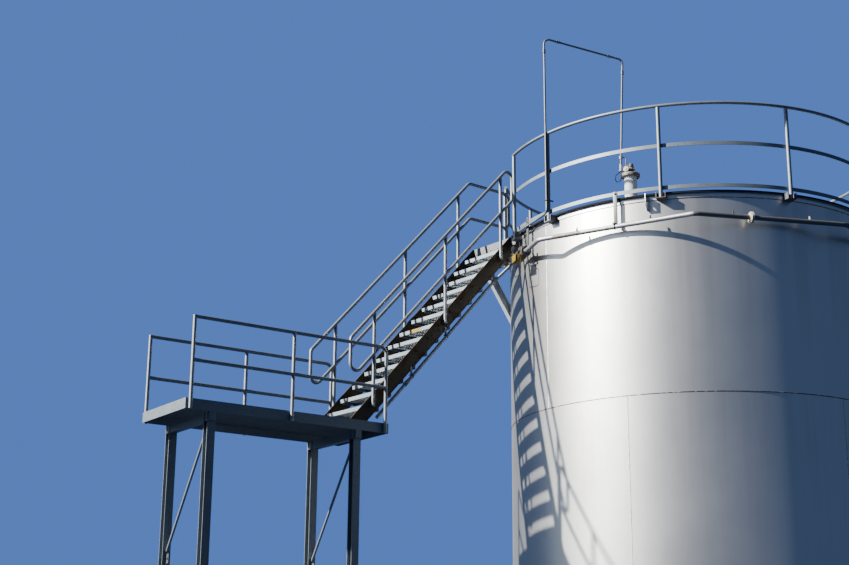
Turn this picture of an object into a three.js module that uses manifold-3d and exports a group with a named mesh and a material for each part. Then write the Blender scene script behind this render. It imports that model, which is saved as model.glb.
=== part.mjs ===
// Vertical storage tank: welded steel shell of three courses on a flat bottom, a shallow cone
// roof with a guard rail, a cooling-water ring, a level gauge with its conduit, and the stair
// that climbs from a walkway bay to the roof. Millimetres, +Z up, origin on the tank axis at
// the underside of the bottom plate, +X to the right of the tank's front view.

import * as THREE from 'three';
import { mergeVertices } from 'three/addons/utils/BufferGeometryUtils.js';
import Module from 'manifold-3d';

const wasm = await Module();
wasm.setup();

// Tank
const TANK_RADIUS = 2500;
const TANK_HEIGHT = 7500;
const FACETS = 80;
const COURSE_HEIGHT = 2500;
const COURSE_THICKNESS = [8, 6, 6];
const COURSE_SEAMS = [[-165, 15], [-120, -57, 91.5], [-148, 35]];
const SEAT = 0.3;
const BOTTOM_PLATE = { radius: 2550, thickness: 8 };
const ROOF = { edgeRadius: 2540, rimRadius: 2480, thickness: 8, slope: 1 / 8 };
const CURB = { height: 70, thickness: 8 };

// Branches low on the shell
const MANWAY = {
  azimuth: -27,
  height: 750,
  pipe: 305,
  flange: 365,
  reach: 230,
  plate: 24,
};
const OUTLET = {
  azimuth: 9,
  height: 300,
  pipe: 84,
  flange: 142,
  reach: 220,
  plate: 22,
};

// Guard rail on the roof edge
const RAIL_RADIUS = 2590;
const RAIL_POST_RADIUS = 24.15;
const RAIL_TUBE_RADIUS = 21.2;
const RAIL_START = -163.8;
const RAIL_END = 167.1;
const POST_AZIMUTHS = [-163.8, -144, -108, -72, -36, 0, 36, 72, 108, 144, 166.5];
const TOP_RAIL_Z = 8630;
const MID_RAIL_Z = 8107;
const TOE_BAR_Z = 7552;
const FLAT_BAR = { height: 50, thickness: 8 };
const BRACKET = { width: 120, plate: 8, below: 82, reach: 2618 };

// Cooling-water ring below the roof edge
const RING_CORNER_RADIUS = 2800;
const RING_BEND_RADIUS = 150;
const RING_PIPE_RADIUS = 30.15;
const RING_Z = 7115;
const RING_CORNERS = [-188, -143.3, -99.3, -58, -12, 34, 79, 123, 167];
const RING_NOZZLE_STEP = 21.6;
const RING_FIRST_NOZZLE = -132.5;
const NOZZLE = { radius: 10, length: 75 };
const RING_FLANGE = { radius: 70, thickness: 16 };
const RING_JOINT_AZIMUTH = -84.4;
const RING_END_AZIMUTH = 154;
const VALVE_AZIMUTH = -155.5;
const VALVE_BODY_RADIUS = 46;
const ACTUATOR = { length: 150, depth: 112, height: 95, place: 85 };
const VALVE_HALF_LENGTH = 95;
const SUPPLY = { radius: 21.2, below: 330, elbow: 120, high: 150, low: 2050 };
const SUPPLY_HANGERS = [960, 1510];
const HANGER_AZIMUTHS = [VALVE_AZIMUTH, -121.1, -30, 9, 53, 94, 136];
const HANGER = { width: 50, thickness: 8, above: 55 };
const LIFTING_LUG_AZIMUTH = -112.2;

// Level gauge on the roof and the conduit that reaches it
const GAUGE = { x: -992, y: -1320, flangeZ: 8120 };
const GAUGE_PIPE_RADIUS = 82;
const GAUGE_FLANGE_RADIUS = 124;
const CONDUIT_RADIUS = 13.5;
const CABLE = { radius: 5, bend: 40 };

// Stair: downhill direction in plan, and the lower front edge line of its treads
const STAIR_ORIGIN = { x: -3150, y: -97 };
const STAIR_DIRECTION = -141.34;
const RISE = 201.9;
const GOING = 186;
const STAIR_WIDTH = 753;
const TREADS = 13;
const TREAD = { depth: 240, height: 48, plate: 5, bars: 3 };
const STRINGER = { thickness: 12, above: 20, below: 250 };
const HANDRAIL_HEIGHT = 1040;
const HANDRAIL_MID = 515;
const HANDRAIL_RADIUS = 21.2;
const HANDRAIL_BEND = 84;
const NEAR_POSTS = [20, 980, 2105];
const FAR_POSTS = [80, 1000, 2110];
const HANDRAIL_POST_DROP = 140;
const LANDING_RAIL_Z = 8480;
const LANDING_MID_Z = 7964;
const LANDING = { fascia: 120, plate: 8, deck: 6, nearSide: 850 };
const STRUT = { side: 30, width: 120, depth: 55, plate: 8, headX: -GOING, footZ: 6500 };

// Walkway bay at the foot of the stair
const WALK_Z = TANK_HEIGHT - 14 * RISE;
const WALK_ORIGIN = { x: -4153, y: -2017 };
const WALK_DIRECTION = -145.4;
const WALK_START = -60;
const WALK_END = 2620;
const WALK_WIDTH = 1190;
const WALK_FRAME = { depth: 120, plate: 8, bars: 17 };
const WALK_POSTS = [1285, 2570];
const WALK_RAIL_TOP = 930;
const WALK_RAIL_MID = 430;
const WALK_FAR_RAIL_START = 60;
const TRESTLES_AT = [360, 2280];
const LEG = { size: 100, web: 6, flange: 8, base: 220, basePlate: 12 };

const DEG = Math.PI / 180;
const FACET_ANGLE = 360 / FACETS;
const TUBE_SIDES = 8;
const TUBE_FLAT = Math.cos(Math.PI / TUBE_SIDES);

const paint = new THREE.Color(0xd4d6d6);
const SHELL_PAINT = { color: paint, roughness: 0.45, metalness: 0.25 };
const GALVANISED = { color: 0xa9b0b3, roughness: 0.55, metalness: 0.6 };
const RUSTY_STEEL = { color: 0x3a2c22, roughness: 0.85, metalness: 0.2 };
const DARK_STEEL = { color: 0x2f3438, roughness: 0.7, metalness: 0.4 };
const BRASS = { color: 0xb98a22, roughness: 0.45, metalness: 0.5 };
const CABLE_BLACK = { color: 0x1c1d1f, roughness: 0.8, metalness: 0.0 };

const tank = new THREE.Group();

function addMesh(parent, name, geometry, finish) {
  const mesh = new THREE.Mesh(geometry, new THREE.MeshStandardMaterial(finish));
  mesh.name = name;
  parent.add(mesh);
  return mesh;
}

// Booleans

function toSolid(geometry) {
  const plain = geometry.clone();
  plain.deleteAttribute('normal');
  plain.deleteAttribute('uv');
  const merged = mergeVertices(plain, 1e-3);
  const vertProperties = new Float32Array(merged.attributes.position.array);
  const triVerts = new Uint32Array(merged.index.array);
  return new wasm.Manifold(new wasm.Mesh({ numProp: 3, vertProperties, triVerts }));
}

function fromSolid(solid) {
  const mesh = solid.getMesh();
  const geometry = new THREE.BufferGeometry();
  geometry.setAttribute('position', new THREE.BufferAttribute(mesh.vertProperties, 3));
  geometry.setIndex(new THREE.BufferAttribute(mesh.triVerts, 1));
  return geometry;
}

function joined(geometries) {
  let solid = toSolid(geometries[0]);
  for (const geometry of geometries.slice(1)) {
    solid = solid.add(toSolid(geometry));
  }
  return fromSolid(solid);
}

function cut(geometry, tool) {
  return fromSolid(toSolid(geometry).subtract(toSolid(tool)));
}

// Shapes

function polar(radius, azimuth, z = 0) {
  const angle = azimuth * DEG;
  return new THREE.Vector3(radius * Math.cos(angle), radius * Math.sin(angle), z);
}

// The radius of a faceted ring at an azimuth, where the ring's corners lie at `radius`
function facetRadius(radius, azimuth) {
  const middle = (Math.floor(azimuth / FACET_ANGLE) + 0.5) * FACET_ANGLE;
  return radius * Math.cos(FACET_ANGLE / 2 * DEG) / Math.cos((azimuth - middle) * DEG);
}

function facetAzimuths(from, to) {
  const azimuths = [from];
  const first = Math.floor(from / FACET_ANGLE + 1e-6) + 1;
  for (let i = first; i * FACET_ANGLE < to - 1e-6; i += 1) {
    azimuths.push(i * FACET_ANGLE);
  }
  azimuths.push(to);
  return azimuths;
}

// A curved plate or bar: part of a faceted ring, between two radii, heights and azimuths
function ringSector(inner, outer, low, high, from, to) {
  const azimuths = facetAzimuths(from, to);
  const outerEdge = azimuths.map((a) => polar(facetRadius(outer, a), a));
  const innerEdge = azimuths.map((a) => polar(facetRadius(inner, a), a)).reverse();
  const outline = [...outerEdge, ...innerEdge].map((p) => new THREE.Vector2(p.x, p.y));
  return extruded(outline, low, high);
}

function extruded(outline, low, high) {
  const options = { depth: high - low, bevelEnabled: false };
  return new THREE.ExtrudeGeometry(new THREE.Shape(outline), options).translate(0, 0, low);
}

// A profile of [radius, height] points, turned round the vertical axis
function turned(profile, sides = FACETS) {
  const points = profile.map(([radius, height]) => new THREE.Vector2(radius, height));
  return new THREE.LatheGeometry(points, sides).rotateX(Math.PI / 2);
}

function box(x0, x1, y0, y1, z0, z1) {
  const geometry = new THREE.BoxGeometry(x1 - x0, y1 - y0, z1 - z0);
  return geometry.translate((x0 + x1) / 2, (y0 + y1) / 2, (z0 + z1) / 2);
}

function rod(start, end, radius, sides = 8) {
  const along = new THREE.Vector3().subVectors(end, start);
  const geometry = new THREE.CylinderGeometry(radius, radius, along.length(), sides);
  const up = new THREE.Vector3(0, 1, 0);
  const turn = new THREE.Quaternion().setFromUnitVectors(up, along.clone().normalize());
  geometry.applyQuaternion(turn);
  const middle = new THREE.Vector3().addVectors(start, end).multiplyScalar(0.5);
  return geometry.translate(middle.x, middle.y, middle.z);
}

// A path through given points, where each point is one section of the tube
class SectionPath extends THREE.Curve {
  constructor(points) {
    super();
    this.points = points;
  }

  getPoint(t, target = new THREE.Vector3()) {
    const place = t * (this.points.length - 1);
    const index = Math.min(Math.floor(place), this.points.length - 2);
    return target.lerpVectors(this.points[index], this.points[index + 1], place - index);
  }

  getPointAt(u, target) {
    return this.getPoint(u, target);
  }

  getTangentAt(u, target = new THREE.Vector3()) {
    const index = Math.round(u * (this.points.length - 1));
    const before = this.points[Math.max(index - 1, 0)];
    const here = this.points[index];
    const after = this.points[Math.min(index + 1, this.points.length - 1)];
    const arriving = new THREE.Vector3().subVectors(here, before).normalize();
    const leaving = new THREE.Vector3().subVectors(after, here).normalize();
    return target.addVectors(arriving, leaving).normalize();
  }
}

function tube(points, radius, sides = TUBE_SIDES) {
  const section = [];
  for (let i = 0; i < sides; i += 1) {
    const angle = (i + 0.5) / sides * 2 * Math.PI;
    section.push(new THREE.Vector2(radius * Math.cos(angle), radius * Math.sin(angle)));
  }
  const options = {
    steps: points.length - 1,
    extrudePath: new SectionPath(points),
    bevelEnabled: false,
  };
  return new THREE.ExtrudeGeometry(new THREE.Shape(section), options);
}

// Rounds the inner corners of a run of points with arcs
function rounded(corners, bendRadius, steps = 3) {
  const points = [corners[0]];
  for (let i = 1; i < corners.length - 1; i += 1) {
    points.push(...bend(corners[i - 1], corners[i], corners[i + 1], bendRadius, steps));
  }
  points.push(corners[corners.length - 1]);
  return points;
}

function bend(before, corner, after, radius, steps) {
  const back = new THREE.Vector3().subVectors(before, corner).normalize();
  const on = new THREE.Vector3().subVectors(after, corner).normalize();
  const half = back.angleTo(on) / 2;
  const centre = new THREE.Vector3().addVectors(back, on).normalize();
  centre.multiplyScalar(radius / Math.sin(half)).add(corner);
  const first = back.clone().multiplyScalar(radius / Math.tan(half)).add(corner);
  const spoke = new THREE.Vector3().subVectors(first, centre);
  const axis = new THREE.Vector3().crossVectors(on, back).normalize();
  const points = [];
  for (let i = 0; i <= steps; i += 1) {
    const angle = (Math.PI - 2 * half) * i / steps;
    points.push(spoke.clone().applyAxisAngle(axis, angle).add(centre));
  }
  return points;
}

// A closed loop of tube, started in the middle of its first straight run
function tubeLoop(corners, bendRadius, radius) {
  const first = corners[0];
  const last = corners[corners.length - 1];
  const start = new THREE.Vector3().addVectors(first, last).multiplyScalar(0.5);
  const lap = new THREE.Vector3().subVectors(first, last).normalize();
  const end = start.clone().add(lap);
  return tube(rounded([start, ...corners, end], bendRadius), radius);
}

// Tank body

function addBottomPlate() {
  const { radius, thickness } = BOTTOM_PLATE;
  const profile = [[0, 0], [radius, 0], [radius, thickness], [0, thickness]];
  addMesh(tank, 'bottom_plate', turned(profile), SHELL_PAINT);
}

function addShell() {
  const halfGap = SEAT / 2 / TANK_RADIUS / DEG;
  const roofUnderside = TANK_HEIGHT - ROOF.thickness - SEAT;
  COURSE_SEAMS.forEach((seams, course) => {
    const low = course === 0 ? BOTTOM_PLATE.thickness + SEAT : course * COURSE_HEIGHT + SEAT / 2;
    const high = Math.min((course + 1) * COURSE_HEIGHT - SEAT / 2, roofUnderside);
    const inner = TANK_RADIUS - COURSE_THICKNESS[course];
    seams.forEach((from, i) => {
      const to = i + 1 < seams.length ? seams[i + 1] : seams[0] + 360;
      const plate = ringSector(inner, TANK_RADIUS, low, high, from + halfGap, to - halfGap);
      addMesh(tank, `shell_course_${course + 1}_plate_${i + 1}`, plate, SHELL_PAINT);
    });
  });
}

function roofHeight(radius) {
  return TANK_HEIGHT + Math.max(ROOF.rimRadius - radius, 0) * ROOF.slope;
}

function addRoof() {
  const { edgeRadius, rimRadius, thickness } = ROOF;
  const peak = roofHeight(0);
  const profile = [
    [0, peak - thickness],
    [rimRadius, TANK_HEIGHT - thickness],
    [edgeRadius, TANK_HEIGHT - thickness],
    [edgeRadius, TANK_HEIGHT],
    [rimRadius, TANK_HEIGHT],
    [0, peak],
  ];
  addMesh(tank, 'cone_roof', turned(profile), SHELL_PAINT);
}

function addCurb() {
  const top = TANK_HEIGHT - ROOF.thickness - SEAT;
  const inner = TANK_RADIUS + SEAT;
  const ring = ringClosed(inner, TANK_RADIUS + CURB.thickness, top - CURB.height, top);
  addMesh(tank, 'curb_ring', joined([ring, liftingLug()]), SHELL_PAINT);
}

function ringClosed(inner, outer, low, high) {
  return turned([[inner, low], [outer, low], [outer, high], [inner, high], [inner, low]]);
}

// A plate that stands out from the curb, with a hole near its foot
function liftingLug() {
  const outline = new THREE.Shape([
    new THREE.Vector2(TANK_RADIUS + 4, TANK_HEIGHT - 14),
    new THREE.Vector2(TANK_RADIUS + 4, TANK_HEIGHT - 205),
    new THREE.Vector2(TANK_RADIUS + 30, TANK_HEIGHT - 225),
    new THREE.Vector2(TANK_RADIUS + 110, TANK_HEIGHT - 140),
    new THREE.Vector2(TANK_RADIUS + 110, TANK_HEIGHT - 14),
  ]);
  const hole = new THREE.Path();
  hole.absarc(TANK_RADIUS + 62, TANK_HEIGHT - 130, 18, 0, 2 * Math.PI, true);
  outline.holes.push(hole);
  const options = { depth: 10, bevelEnabled: false, curveSegments: 12 };
  const plate = new THREE.ExtrudeGeometry(outline, options).translate(0, 0, -5);
  return plate.rotateX(Math.PI / 2).rotateZ(LIFTING_LUG_AZIMUTH * DEG);
}

// A flanged branch on the shell, closed by a blind plate
function shellBranch({ azimuth, height, pipe, flange, reach, plate }) {
  const start = TANK_RADIUS * Math.cos(FACET_ANGLE / 2 * DEG) - SEAT;
  const profile = [
    [0, 0],
    [pipe, 0],
    [pipe, reach - plate],
    [flange, reach - plate],
    [flange, reach],
    [flange - 6, reach],
    [flange - 6, reach + 3],
    [flange, reach + 3],
    [flange, reach + plate],
    [0, reach + plate],
  ];
  const branch = turned(profile, 24).rotateY(Math.PI / 2).translate(start, 0, height);
  branch.rotateZ(azimuth * DEG);
  const shell = turned([
    [0, 0],
    [TANK_RADIUS + SEAT, 0],
    [TANK_RADIUS + SEAT, TANK_HEIGHT],
    [0, TANK_HEIGHT],
  ]);
  return cut(branch, shell);
}

function addBranches() {
  addMesh(tank, 'shell_manway', shellBranch(MANWAY), SHELL_PAINT);
  addMesh(tank, 'outlet_nozzle', shellBranch(OUTLET), SHELL_PAINT);
}

// Guard rail

function postWithBracket() {
  const plateTop = TANK_HEIGHT - BRACKET.below;
  const half = BRACKET.width / 2;
  const inner = TANK_RADIUS + 2 * SEAT;
  const cheekInner = TANK_RADIUS + CURB.thickness + 2 * SEAT;
  const cheekTop = TANK_HEIGHT - ROOF.thickness - 2;
  const foot = new THREE.Vector3(RAIL_RADIUS, 0, plateTop - 2);
  const head = new THREE.Vector3(RAIL_RADIUS, 0, TOP_RAIL_Z - RAIL_TUBE_RADIUS * TUBE_FLAT - SEAT);
  return joined([
    rod(foot, head, RAIL_POST_RADIUS),
    box(inner, BRACKET.reach, -half, half, plateTop - BRACKET.plate, plateTop),
    box(cheekInner, BRACKET.reach, -half, -half + BRACKET.plate, plateTop - 2, cheekTop),
    box(cheekInner, BRACKET.reach, half - BRACKET.plate, half, plateTop - 2, cheekTop),
  ]);
}

function addGuardRail() {
  const post = postWithBracket();
  POST_AZIMUTHS.forEach((azimuth, i) => {
    const name = `rail_post_${String(i + 1).padStart(2, '0')}`;
    const mesh = addMesh(tank, name, post.clone(), GALVANISED);
    mesh.rotation.z = azimuth * DEG;
    mesh.position.copy(polar(facetRadius(RAIL_RADIUS, azimuth) - RAIL_RADIUS, azimuth));
  });
  const azimuths = facetAzimuths(RAIL_START - 0.6, RAIL_END);
  const topRun = azimuths.map((a) => polar(facetRadius(RAIL_RADIUS, a), a, TOP_RAIL_Z));
  addMesh(tank, 'top_rail', tube(topRun, RAIL_TUBE_RADIUS), GALVANISED);
  addMesh(tank, 'mid_rail', railBar(MID_RAIL_Z), GALVANISED);
  const hangers = HANGER_AZIMUTHS.map((azimuth) => ringHanger(azimuth));
  addMesh(tank, 'toe_bar', joined([railBar(TOE_BAR_Z), ...hangers]), GALVANISED);
}

// A flat bar bent round the inside of the posts
function railBar(z) {
  const outer = RAIL_RADIUS - RAIL_POST_RADIUS - SEAT;
  const inner = outer - FLAT_BAR.thickness;
  const low = z - FLAT_BAR.height / 2;
  return ringSector(inner, outer, low, low + FLAT_BAR.height, RAIL_START, RAIL_END);
}

// A strip that hangs from the toe bar, with a saddle over the cooling-water ring or its valve
function ringHanger(azimuth) {
  const ring = ringPoint(azimuth);
  const reach = Math.hypot(ring.x, ring.y);
  const half = HANGER.width / 2;
  const face = RAIL_RADIUS - RAIL_POST_RADIUS - 4;
  const top = TOE_BAR_Z + HANGER.above;
  const onValve = azimuth === VALVE_AZIMUTH;
  const rest = onValve ? VALVE_BODY_RADIUS : RING_PIPE_RADIUS * TUBE_FLAT;
  const low = RING_Z + rest + SEAT;
  const strip = box(face, face + HANGER.thickness + 4, -half, half, low, top);
  const saddle = box(face, reach + 46, -half, half, low, low + 6);
  return joined([strip, saddle]).rotateZ(azimuth * DEG);
}

// Cooling-water ring

function ringCorner(index) {
  return polar(RING_CORNER_RADIUS, RING_CORNERS[index], RING_Z);
}

// The middle azimuth of the ring's side at an azimuth, and half the angle that it spans
function ringSide(azimuth) {
  const next = RING_CORNERS.findIndex((corner) => corner > azimuth);
  const from = RING_CORNERS[next - 1];
  const to = RING_CORNERS[next];
  return { middle: (from + to) / 2, half: (to - from) / 2 };
}

// The point of the ring pipe's axis at an azimuth
function ringPoint(azimuth) {
  const { middle, half } = ringSide(azimuth);
  const radius = RING_CORNER_RADIUS * Math.cos(half * DEG) / Math.cos((azimuth - middle) * DEG);
  return polar(radius, azimuth, RING_Z);
}

function ringDirection(azimuth) {
  return polar(1, ringSide(azimuth).middle + 90);
}

// The point of the ring pipe's axis at a distance along the run from an azimuth
function ringPointPast(azimuth, distance) {
  return ringPoint(azimuth).addScaledVector(ringDirection(azimuth), distance);
}

function ringFlange(azimuth, distance) {
  const thickness = Math.sign(distance) * RING_FLANGE.thickness;
  const near = ringPointPast(azimuth, distance);
  const far = ringPointPast(azimuth, distance + thickness);
  return rod(near, far, RING_FLANGE.radius, 16);
}

function ringNozzle(azimuth) {
  const start = ringPoint(azimuth);
  const end = ringPoint(azimuth).add(new THREE.Vector3(0, 0, NOZZLE.length));
  end.addScaledVector(polar(1, azimuth), -12);
  return rod(start, end, NOZZLE.radius, 8);
}

// A run of the ring between two flanged ends, each an azimuth and a distance past it
function ringRun([from, startGap], [to, endGap], firstCorner, lastCorner) {
  const corners = [];
  for (let i = firstCorner; i <= lastCorner; i += 1) {
    corners.push(ringCorner(i));
  }
  const start = ringPointPast(from, startGap);
  const end = ringPointPast(to, endGap);
  const run = rounded([start, ...corners, end], RING_BEND_RADIUS, 3);
  const parts = [
    tube(run, RING_PIPE_RADIUS),
    ringFlange(from, startGap),
    ringFlange(to, endGap),
  ];
  for (let i = 0; i < 16; i += 1) {
    const azimuth = RING_FIRST_NOZZLE + i * RING_NOZZLE_STEP;
    if (azimuth > from + 4 && azimuth < to - 4) {
      parts.push(ringNozzle(azimuth));
    }
  }
  return joined(parts);
}

function addCoolingRing() {
  const gap = VALVE_HALF_LENGTH + SEAT;
  const start = [VALVE_AZIMUTH, gap];
  const middle = [RING_JOINT_AZIMUTH, -SEAT / 2];
  const middleAgain = [RING_JOINT_AZIMUTH, SEAT / 2];
  const end = [RING_END_AZIMUTH, -SEAT];
  addMesh(tank, 'cooling_ring_front', ringRun(start, middle, 1, 2), GALVANISED);
  addMesh(tank, 'cooling_ring_back', ringRun(middleAgain, end, 3, 7), GALVANISED);
}

function addValve() {
  const centre = ringPoint(VALVE_AZIMUTH);
  const along = ringDirection(VALVE_AZIMUTH);
  const start = centre.clone().addScaledVector(along, -VALVE_HALF_LENGTH);
  const end = centre.clone().addScaledVector(along, VALVE_HALF_LENGTH);
  const startInner = start.clone().addScaledVector(along, RING_FLANGE.thickness);
  const endInner = end.clone().addScaledVector(along, -RING_FLANGE.thickness);
  const outward = along.clone().cross(new THREE.Vector3(0, 0, 1));
  const place = centre.clone().addScaledVector(outward, ACTUATOR.place);
  place.z -= ACTUATOR.place;
  const turn = Math.atan2(along.y, along.x);
  const { length, depth, height } = ACTUATOR;
  const body = joined([
    rod(start, end, VALVE_BODY_RADIUS, 12),
    rod(start, startInner, RING_FLANGE.radius, 16),
    rod(endInner, end, RING_FLANGE.radius, 16),
    rod(centre, place, 22),
  ]);
  const room = new THREE.BoxGeometry(length + 2 * SEAT, depth + 2 * SEAT, height + 2 * SEAT);
  room.rotateZ(turn).translate(place.x, place.y, place.z);
  addMesh(tank, 'ring_valve', cut(body, room), GALVANISED);
  const actuator = new THREE.BoxGeometry(length, depth, height);
  const actuatorMesh = addMesh(tank, 'valve_actuator', actuator, BRASS);
  actuatorMesh.position.copy(place);
  actuatorMesh.rotation.z = turn;
  addValveCable(place, along);
}

// A loop of cable that hangs under the actuator from one of its ends to the other
function addValveCable(place, along) {
  const at = (past, below) => {
    return place.clone().addScaledVector(along, past).add(new THREE.Vector3(0, 0, -below));
  };
  const face = ACTUATOR.length / 2 + SEAT;
  const corners = [at(face, 0), at(125, 0), at(125, 230), at(-125, 230), at(-125, 0), at(-face, 0)];
  const loop = rounded(corners, CABLE.bend, 4);
  addMesh(tank, 'valve_cable', tube(loop, CABLE.radius), CABLE_BLACK);
}

// Level gauge and conduit

function addGauge() {
  const { x, y, flangeZ } = GAUGE;
  const radius = Math.hypot(x, y);
  const flange = 20;
  const neck = turned([
    [0, roofHeight(radius) - 60],
    [GAUGE_PIPE_RADIUS, roofHeight(radius) - 60],
    [GAUGE_PIPE_RADIUS, flangeZ - flange],
    [GAUGE_FLANGE_RADIUS, flangeZ - flange],
    [GAUGE_FLANGE_RADIUS, flangeZ],
    [0, flangeZ],
  ], 24).translate(x, y, 0);
  const underRoof = turned([
    [0, 0],
    [ROOF.rimRadius, 0],
    [ROOF.rimRadius, TANK_HEIGHT + SEAT],
    [0, roofHeight(0) + SEAT],
  ]);
  addMesh(tank, 'gauge_nozzle', cut(neck, underRoof), SHELL_PAINT);
  const head = turned([
    [0, 0],
    [GAUGE_FLANGE_RADIUS, 0],
    [GAUGE_FLANGE_RADIUS, flange],
    [60, flange],
    [60, 95],
    [46, 105],
    [46, 150],
    [34, 168],
    [0, 168],
  ], 24);
  const headMesh = addMesh(tank, 'gauge_head', head, DARK_STEEL);
  headMesh.position.set(x, y, flangeZ + SEAT);
}

// Runs along the outside of the toe bar, up a post, over the roof and down to the gauge
function addConduit() {
  const post = polar(RAIL_RADIUS, -144);
  const leg = polar(RAIL_POST_RADIUS + CONDUIT_RADIUS + SEAT, -138).add(post);
  const run = rounded([
    polar(2592, -161, 7486),
    polar(2592, -156, 7486),
    polar(2594, -150.5, 7500),
    new THREE.Vector3(leg.x, leg.y, 7522),
    new THREE.Vector3(leg.x, leg.y, 9987),
    new THREE.Vector3(GAUGE.x - 63, GAUGE.y - 40, 9765),
    new THREE.Vector3(GAUGE.x - 128, GAUGE.y - 30, 8175),
  ], 70);
  addMesh(tank, 'gauge_conduit', tube(run, CONDUIT_RADIUS), GALVANISED);
}

// Hangs in a loop from the end of the conduit to the flat of the gauge head at this azimuth
function addGaugeCable() {
  const { x, y, flangeZ } = GAUGE;
  const at = (out, z) => polar(out, 172.5, z).add(new THREE.Vector3(x, y, flangeZ));
  const flat = 60 * Math.cos(Math.PI / 24);
  const cable = rounded([
    new THREE.Vector3(x - 128, y - 30, 8175 - 2 * SEAT),
    new THREE.Vector3(x - 128, y - 30, flangeZ - 85),
    at(195, -85),
    at(195, 10),
    at(136, 62),
    at(flat + SEAT, 62),
  ], CABLE.bend, 4);
  addMesh(tank, 'gauge_cable', tube(cable, CABLE.radius), CABLE_BLACK);
}

// Stair, in its own frame: +X down the flight, +Y across towards the near side

const stair = new THREE.Group();
stair.position.set(STAIR_ORIGIN.x, STAIR_ORIGIN.y, 0);
stair.rotation.z = STAIR_DIRECTION * DEG;
tank.add(stair);

const SLOPE = RISE / GOING;
const NEAR_RAIL_Y = STAIR_WIDTH + STRINGER.thickness + HANDRAIL_RADIUS + SEAT;
const FAR_RAIL_Y = -STRINGER.thickness - HANDRAIL_RADIUS - SEAT;

// Height of the line through the treads' front edges
function nosing(along) {
  return TANK_HEIGHT - RISE - along * SLOPE;
}

function alongAt(height, above) {
  return (TANK_HEIGHT - RISE + above - height) / SLOPE;
}

function treadGeometry() {
  const { depth, height, plate, bars } = TREAD;
  const side = SEAT;
  const far = STAIR_WIDTH - SEAT;
  const parts = [
    box(-plate, 0, side, far, -height, 0),
    box(-depth, -depth + plate, side, far, -height, 0),
    box(-depth, 0, side, side + plate, -height, 0),
    box(-depth, 0, far - plate, far, -height, 0),
  ];
  const spacing = (depth - plate) / (bars + 1);
  for (let i = 1; i <= bars; i += 1) {
    const x = -i * spacing;
    parts.push(box(x - plate, x, side, far, -30, 0));
  }
  return joined(parts);
}

function addTreads() {
  const tread = treadGeometry();
  for (let i = 0; i < TREADS; i += 1) {
    const name = `stair_tread_${String(i + 1).padStart(2, '0')}`;
    const mesh = addMesh(stair, name, tread.clone(), GALVANISED);
    mesh.position.set(i * GOING, 0, TANK_HEIGHT - RISE * (i + 1));
  }
}

// A profile of [along, height] points made into a plate across a width
function sidePlate(profile, y0, y1) {
  const outline = profile.map(([along, height]) => new THREE.Vector2(along, height));
  const options = { depth: y1 - y0, bevelEnabled: false };
  const plate = new THREE.ExtrudeGeometry(new THREE.Shape(outline), options);
  return plate.rotateX(Math.PI / 2).translate(0, y1, 0);
}

function addStringers() {
  const top = -GOING + SEAT;
  const ceiling = TANK_HEIGHT - 2;
  const floor = WALK_Z + SEAT;
  const { above, below, thickness } = STRINGER;
  const profile = [
    [top, ceiling],
    [top, nosing(top) - below],
    [alongAt(floor, -below), floor],
    [alongAt(floor, above), floor],
    [alongAt(ceiling, above), ceiling],
  ];
  const far = sidePlate(profile, -thickness, 0);
  const near = sidePlate(profile, STAIR_WIDTH, STAIR_WIDTH + thickness);
  addMesh(stair, 'stair_stringer_far', far, RUSTY_STEEL);
  addMesh(stair, 'stair_stringer_near', near, RUSTY_STEEL);
}

function handrailPost(along, y, top) {
  const foot = new THREE.Vector3(along, y, nosing(along) - HANDRAIL_POST_DROP);
  return rod(foot, new THREE.Vector3(along, y, top), HANDRAIL_RADIUS);
}

function addHandrails() {
  const upper = (along) => nosing(along) + HANDRAIL_HEIGHT;
  const middle = (along) => nosing(along) + HANDRAIL_MID;
  const nearLoop = [
    [2456, upper(2456)],
    [-190, upper(-190)],
    [-190, middle(-190)],
    [2456, middle(2456)],
  ].map(([x, z]) => new THREE.Vector3(x, NEAR_RAIL_Y, z));
  const nearParts = [tubeLoop(nearLoop, HANDRAIL_BEND, HANDRAIL_RADIUS)];
  NEAR_POSTS.forEach((x) => nearParts.push(handrailPost(x, NEAR_RAIL_Y, upper(x))));
  addMesh(stair, 'handrail_near', joined(nearParts), GALVANISED);
  const farLoop = [
    [2477, upper(2477) + 10],
    [alongAt(LANDING_RAIL_Z, HANDRAIL_HEIGHT + 10), LANDING_RAIL_Z],
    [-870, LANDING_RAIL_Z],
    [-870, LANDING_MID_Z],
    [alongAt(LANDING_MID_Z, HANDRAIL_MID), LANDING_MID_Z],
    [2477, middle(2477)],
  ].map(([x, z]) => new THREE.Vector3(x, FAR_RAIL_Y, z));
  const farParts = [tubeLoop(farLoop, HANDRAIL_BEND, HANDRAIL_RADIUS)];
  FAR_POSTS.forEach((x) => farParts.push(handrailPost(x, FAR_RAIL_Y, upper(x))));
  const landingPost = new THREE.Vector3(-800, FAR_RAIL_Y, TANK_HEIGHT - LANDING.fascia);
  const landingPostTop = new THREE.Vector3(-800, FAR_RAIL_Y, LANDING_RAIL_Z);
  farParts.push(rod(landingPost, landingPostTop, HANDRAIL_RADIUS));
  addMesh(stair, 'handrail_far', joined(farParts), GALVANISED);
}

// Where a line along the stair, at a distance across it, meets a circle about the tank axis
function alongToCircle(across, radius) {
  const u = new THREE.Vector2(Math.cos(STAIR_DIRECTION * DEG), Math.sin(STAIR_DIRECTION * DEG));
  const v = new THREE.Vector2(-u.y, u.x);
  const base = new THREE.Vector2(STAIR_ORIGIN.x, STAIR_ORIGIN.y).addScaledVector(v, across);
  const half = base.dot(u);
  return -half + Math.sqrt(half * half - base.lengthSq() + radius * radius);
}

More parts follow.
